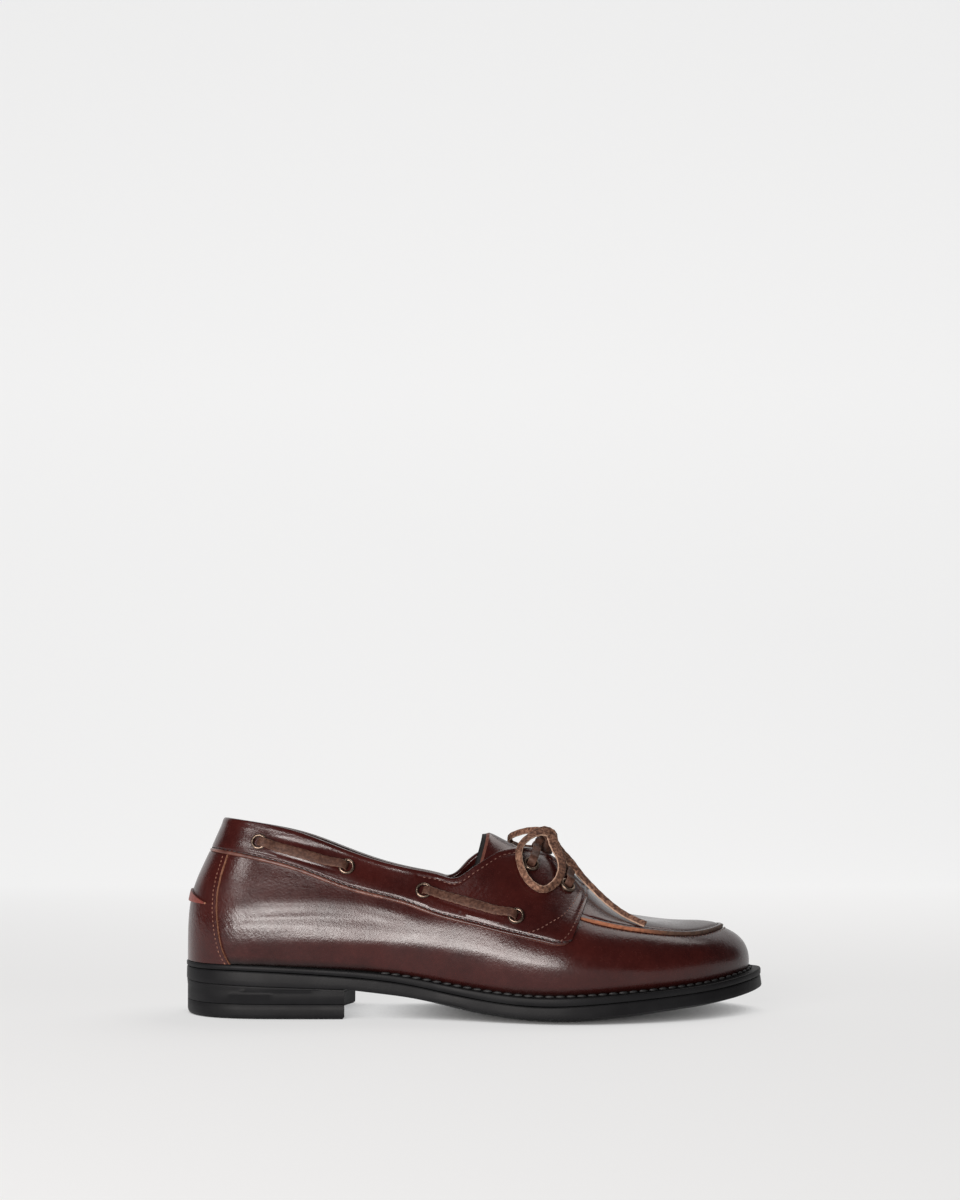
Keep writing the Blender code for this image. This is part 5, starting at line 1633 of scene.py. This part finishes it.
# The knot is a lace wound nearly three times round the two loops where they meet.
KNOT_TURNS, KNOT_START = 2.7, 2.2
wrap, wrap_out = [], []
for t in np.linspace(0, KNOT_TURNS * 2 * math.pi, 27):
    across, up = math.cos(t + KNOT_START), math.sin(t + KNOT_START)
    wrap.append((37.0 + (1.0 + 0.17 * t) * across, -6.2 + 0.36 * t, 91.6 + (0.7 + 0.12 * t) * up))
    wrap_out.append((across, 0.0, 1.4 * up))
knot, path = flat_lace("bow_knot", wrap, wrap_out, 5, waxed, EVEN_BOW, 1.7)
free_lace(knot, path, "lace_knot", "knot", "taut")


# ---------------------------------------------------------------- stitching
# Waxed thread holds the overlays down: one row along the band, two round the front of each facing, one
# beside each edge of the strap, one in the plug's groove, and heavy black thread through the welt.

def stitches(name, rows, size, finish):
    """Rows of stitches as one piece; each row gives points, ways along and ways out."""
    bm = bmesh.new()
    for points, along, out in rows:
        for point, way, normal in zip(points, along, out):
            aside = unit(np.cross(normal, way))
            axes = np.array((np.cross(aside, normal), aside, normal)) * np.array(size)[:, None] / 2 * MM
            matrix = Matrix([(*axes[:, i], point[i] * MM) for i in range(3)] + [(0, 0, 0, 1)])
            bmesh.ops.create_uvsphere(bm, u_segments=8, v_segments=5, radius=1, matrix=matrix)
    for face in bm.faces:
        face.smooth = True
    finished(name, bm, (finish,))


def row_on(curve, pitch, lift, slant=0.0):
    """Points along a curve of (u, v), a pitch apart, with the ways along and out."""
    length = travelled(surface(curve, lift))[-1]
    points, normals = stood(even(curve, max(int(length / pitch), 2)), lift)
    ways = unit(np.gradient(points, axis=0))
    return points, ways + np.cross(normals, ways) * slant, normals


dark_thread, pale_thread, tan_thread, welt_thread = (
    mottled(name, 0.4, (0.3, *low), (0.7, *high), (900, 2), roughness)
    for name, low, high, roughness in (
        ("dark_thread", (0.006, 0.002, 0.002), (0.014, 0.005, 0.004), 0.5),
        ("pale_thread", (0.085, 0.036, 0.027), (0.19, 0.092, 0.070), 0.5),
        ("tan_thread", (0.11, 0.040, 0.024), (0.22, 0.090, 0.052), 0.5),
        ("welt_thread", (0.006, 0.006, 0.0065), (0.016, 0.016, 0.017), 0.62),
    )
)

band_rows, facing_rows = [], []
for side in (LATERAL, MEDIAL):
    a = np.linspace(0, 0.985, 500)
    foot, head = (surface(band_uv(side, a, 0 * a + end)) for end in (0.0, 1.0))
    length = np.linalg.norm(head - foot, axis=1)
    band_rows.append(row_on(band_uv(side, a, 2.15 / length), 2.75, 1.06))
    top = band_uv(side, a, 1 - 2.9 / length)
    x = surface(top)[:, 0]
    facing_rows.append(row_on(top[(x > -26) & (x < 52)], 2.6, 1.28))
    b = np.linspace(0.06, 0.93, 120)
    for inset, b in ((2.0, b), (5.4, b[1:])):
        facing_rows.append(row_on(band_uv(side, 1 - inset / front_scale(side, b), b), 2.3, 1.52))
stitches("band_stitches", band_rows, (1.9, 0.75, 0.5), dark_thread)
stitches("facing_stitches", facing_rows, (1.5, 0.55, 0.5), pale_thread)

strap_rows = []
b = np.linspace(0.01, 0.97, 100)
width = np.linalg.norm(surface(strap_uv(0 * b, b)) - surface(strap_uv(0 * b + 0.1, b)), axis=1) / 0.1
for a in (0.0, 1.0):
    strap_rows.append(row_on(strap_uv(np.abs(a - 2.0 / width), b), 2.1, BAND_FACE + 0.03))
stitches("strap_stitches", strap_rows, (1.3, 0.5, 0.4), tan_thread)

seam_u = ring_columns(plug_of, 1, np.linspace(0.05, 0.95, 600))[:, 0]
groove, vamp_line = (np.column_stack([seam_u, by_u(SEAM, seam_u) + inset / by_u(RIB_LENGTH, seam_u)])
                     for inset in (2.75, -1.3))
stitches("plug_stitches", [row_on(groove, 3.0, 0.82)], (1.9, 0.6, 0.5), dark_thread)
stitches("vamp_stitches", [row_on(vamp_line, 3.0, 0.05, 0.8)], (0.9, 0.4, 0.35), pale_thread)

outline = sole_ring(np.linspace(0.0, 1.0, 2400), plus(welt_reach, -0.75), plus(welt_top, 0.25))
outline = outline[outline[:, 0] > -47]
covered = travelled(outline)
points = read_at(np.arange(2.0, covered[-1], 5.2), covered, outline)
welt_row = points, unit(np.gradient(points, axis=0)), np.tile([0.0, 0.0, 1.0], (len(points), 1))
stitches("welt_stitches", [welt_row], (4.4, 1.3, 1.5), welt_thread)


# ---------------------------------------------------------------- studio
# The shoe stands on a pale seamless sheet that glows softly; its glow is dimmed close under the sole as a
# painted contact shadow. Low lights in front draw the bands of shine on the quarter, facing and collar, and
# two larger ones hang above.

backdrop = Finish("pale_floor", Specular_IOR_Level=0.0, Emission_Strength=1.0)
backdrop.colour((0.27, 0.27, 0.27, 1))
backdrop.roughness(1.0)
# Painted contact shadow: the floor's glow is dimmed where ambient occlusion finds the sole close above it. The glow
# also rises towards the back so that the sheet stays evenly bright.
open_sky = backdrop.node("AmbientOcclusion", {"samples": 6}, {"Distance": 0.017}, out=1)
glow_with_painted_shadow = backdrop.ramp(backdrop.axis(1), 0.1, 1.2, 0.60, 0.76) * backdrop.ramp(open_sky, 0.08, 0.48, 0.03, 1.0)
grey_glow = backdrop.node("CombineXYZ", {}, {0: glow_with_painted_shadow, 1: glow_with_painted_shadow, 2: glow_with_painted_shadow})
backdrop.feed(backdrop.shader.inputs["Emission Color"], grey_glow)
BEND_START, QUARTER_TURN = 1.2, 1.57


def sheet_at(vert):
    """The sheet lies flat to behind the shoe and then bends upwards."""
    x, y = vert.co.x * 4.0, (vert.co.y + 1) * 3.2 - 2.2
    bend = max(y - BEND_START, 0.0)
    turn = min(bend, QUARTER_TURN)
    height = 1.0 - math.cos(turn) + max(bend - QUARTER_TURN, 0)
    return Vector((x, min(y, BEND_START) + math.sin(turn), height))


bm = bmesh.new()
bmesh.ops.create_grid(bm, x_segments=8, y_segments=160, size=1)
for vert in bm.verts:
    vert.co = sheet_at(vert)
for face in bm.faces:
    face.smooth = True
mesh = bpy.data.meshes.new("floor")
bmesh.ops.recalc_face_normals(bm, faces=bm.faces)
bm.to_mesh(mesh)
bm.free()
mesh.materials.append(backdrop.material)
floor = bpy.data.objects.new("floor", mesh)
bpy.context.scene.collection.objects.link(floor)
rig.stage(floor)

LIGHTS = (
    # name, place, aimed at, size, watts
    ("quarter_shine", (-0.468, -1.034, 0.105), (-0.05, 0.0, 0.05), (0.82, 0.19), 13.6),
    ("facing_shine", (-0.316, -1.067, 0.324), (-0.05, 0.0, 0.05), (0.47, 0.10), 3.5),
    ("collar_shine", (-0.74, -0.70, 0.55), (-0.08, 0.0, 0.07), (0.24, 0.09), 1.6),
    ("upper_left", (-0.64, -0.70, 0.97), (0.0, 0.0, 0.05), (0.5, 0.5), 1.5),
    ("overhead", (0.40, 0.54, 1.22), (0.0, 0.0, 0.0), (1.0, 0.62), 7.0),
)
WARMTH = (1.0, 0.955, 0.925)
for name, place, aim, size, power in LIGHTS:
    data = bpy.data.lights.new(name, "AREA")
    data.shape = "RECTANGLE"
    data.size, data.size_y = size
    data.energy = power
    data.color = WARMTH
    light = bpy.data.objects.new(name, data)
    light.location = place
    light.rotation_euler = (Vector(aim) - Vector(place)).to_track_quat("-Z", "Y").to_euler()
    bpy.context.scene.collection.objects.link(light)

world = bpy.data.worlds.new("studio")
world.use_nodes = True
room = world.node_tree.nodes["Background"]
room.inputs["Color"].default_value = (1, 1, 1, 1)
seen = world.node_tree.nodes.new("ShaderNodeLightPath")
strength = world.node_tree.nodes.new("ShaderNodeMapRange")
strength.inputs["To Min"].default_value, strength.inputs["To Max"].default_value = 0.05, 0.84
world.node_tree.links.new(seen.outputs["Is Camera Ray"], strength.inputs["Value"])
world.node_tree.links.new(strength.outputs["Result"], room.inputs["Strength"])
bpy.context.scene.world = world
bpy.context.scene.view_settings.view_transform = "Standard"

camera_data = bpy.data.cameras.new("camera")
camera_data.sensor_fit = "VERTICAL"
camera_data.sensor_height = 36
camera_data.lens = 40.41
camera_data.shift_y = 0.178
camera_data.clip_start = 0.01
camera = bpy.data.objects.new("camera", camera_data)
camera.location = (0.002, -0.700, 0.102)
camera.rotation_euler = (math.radians(90), 0, 0)
bpy.context.scene.collection.objects.link(camera)
bpy.context.scene.camera = camera

with open("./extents.json", "w") as record:
    json.dump({"cad": [list(v) for v in cad_box], "scene": [list(v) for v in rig.bounds()]}, record)
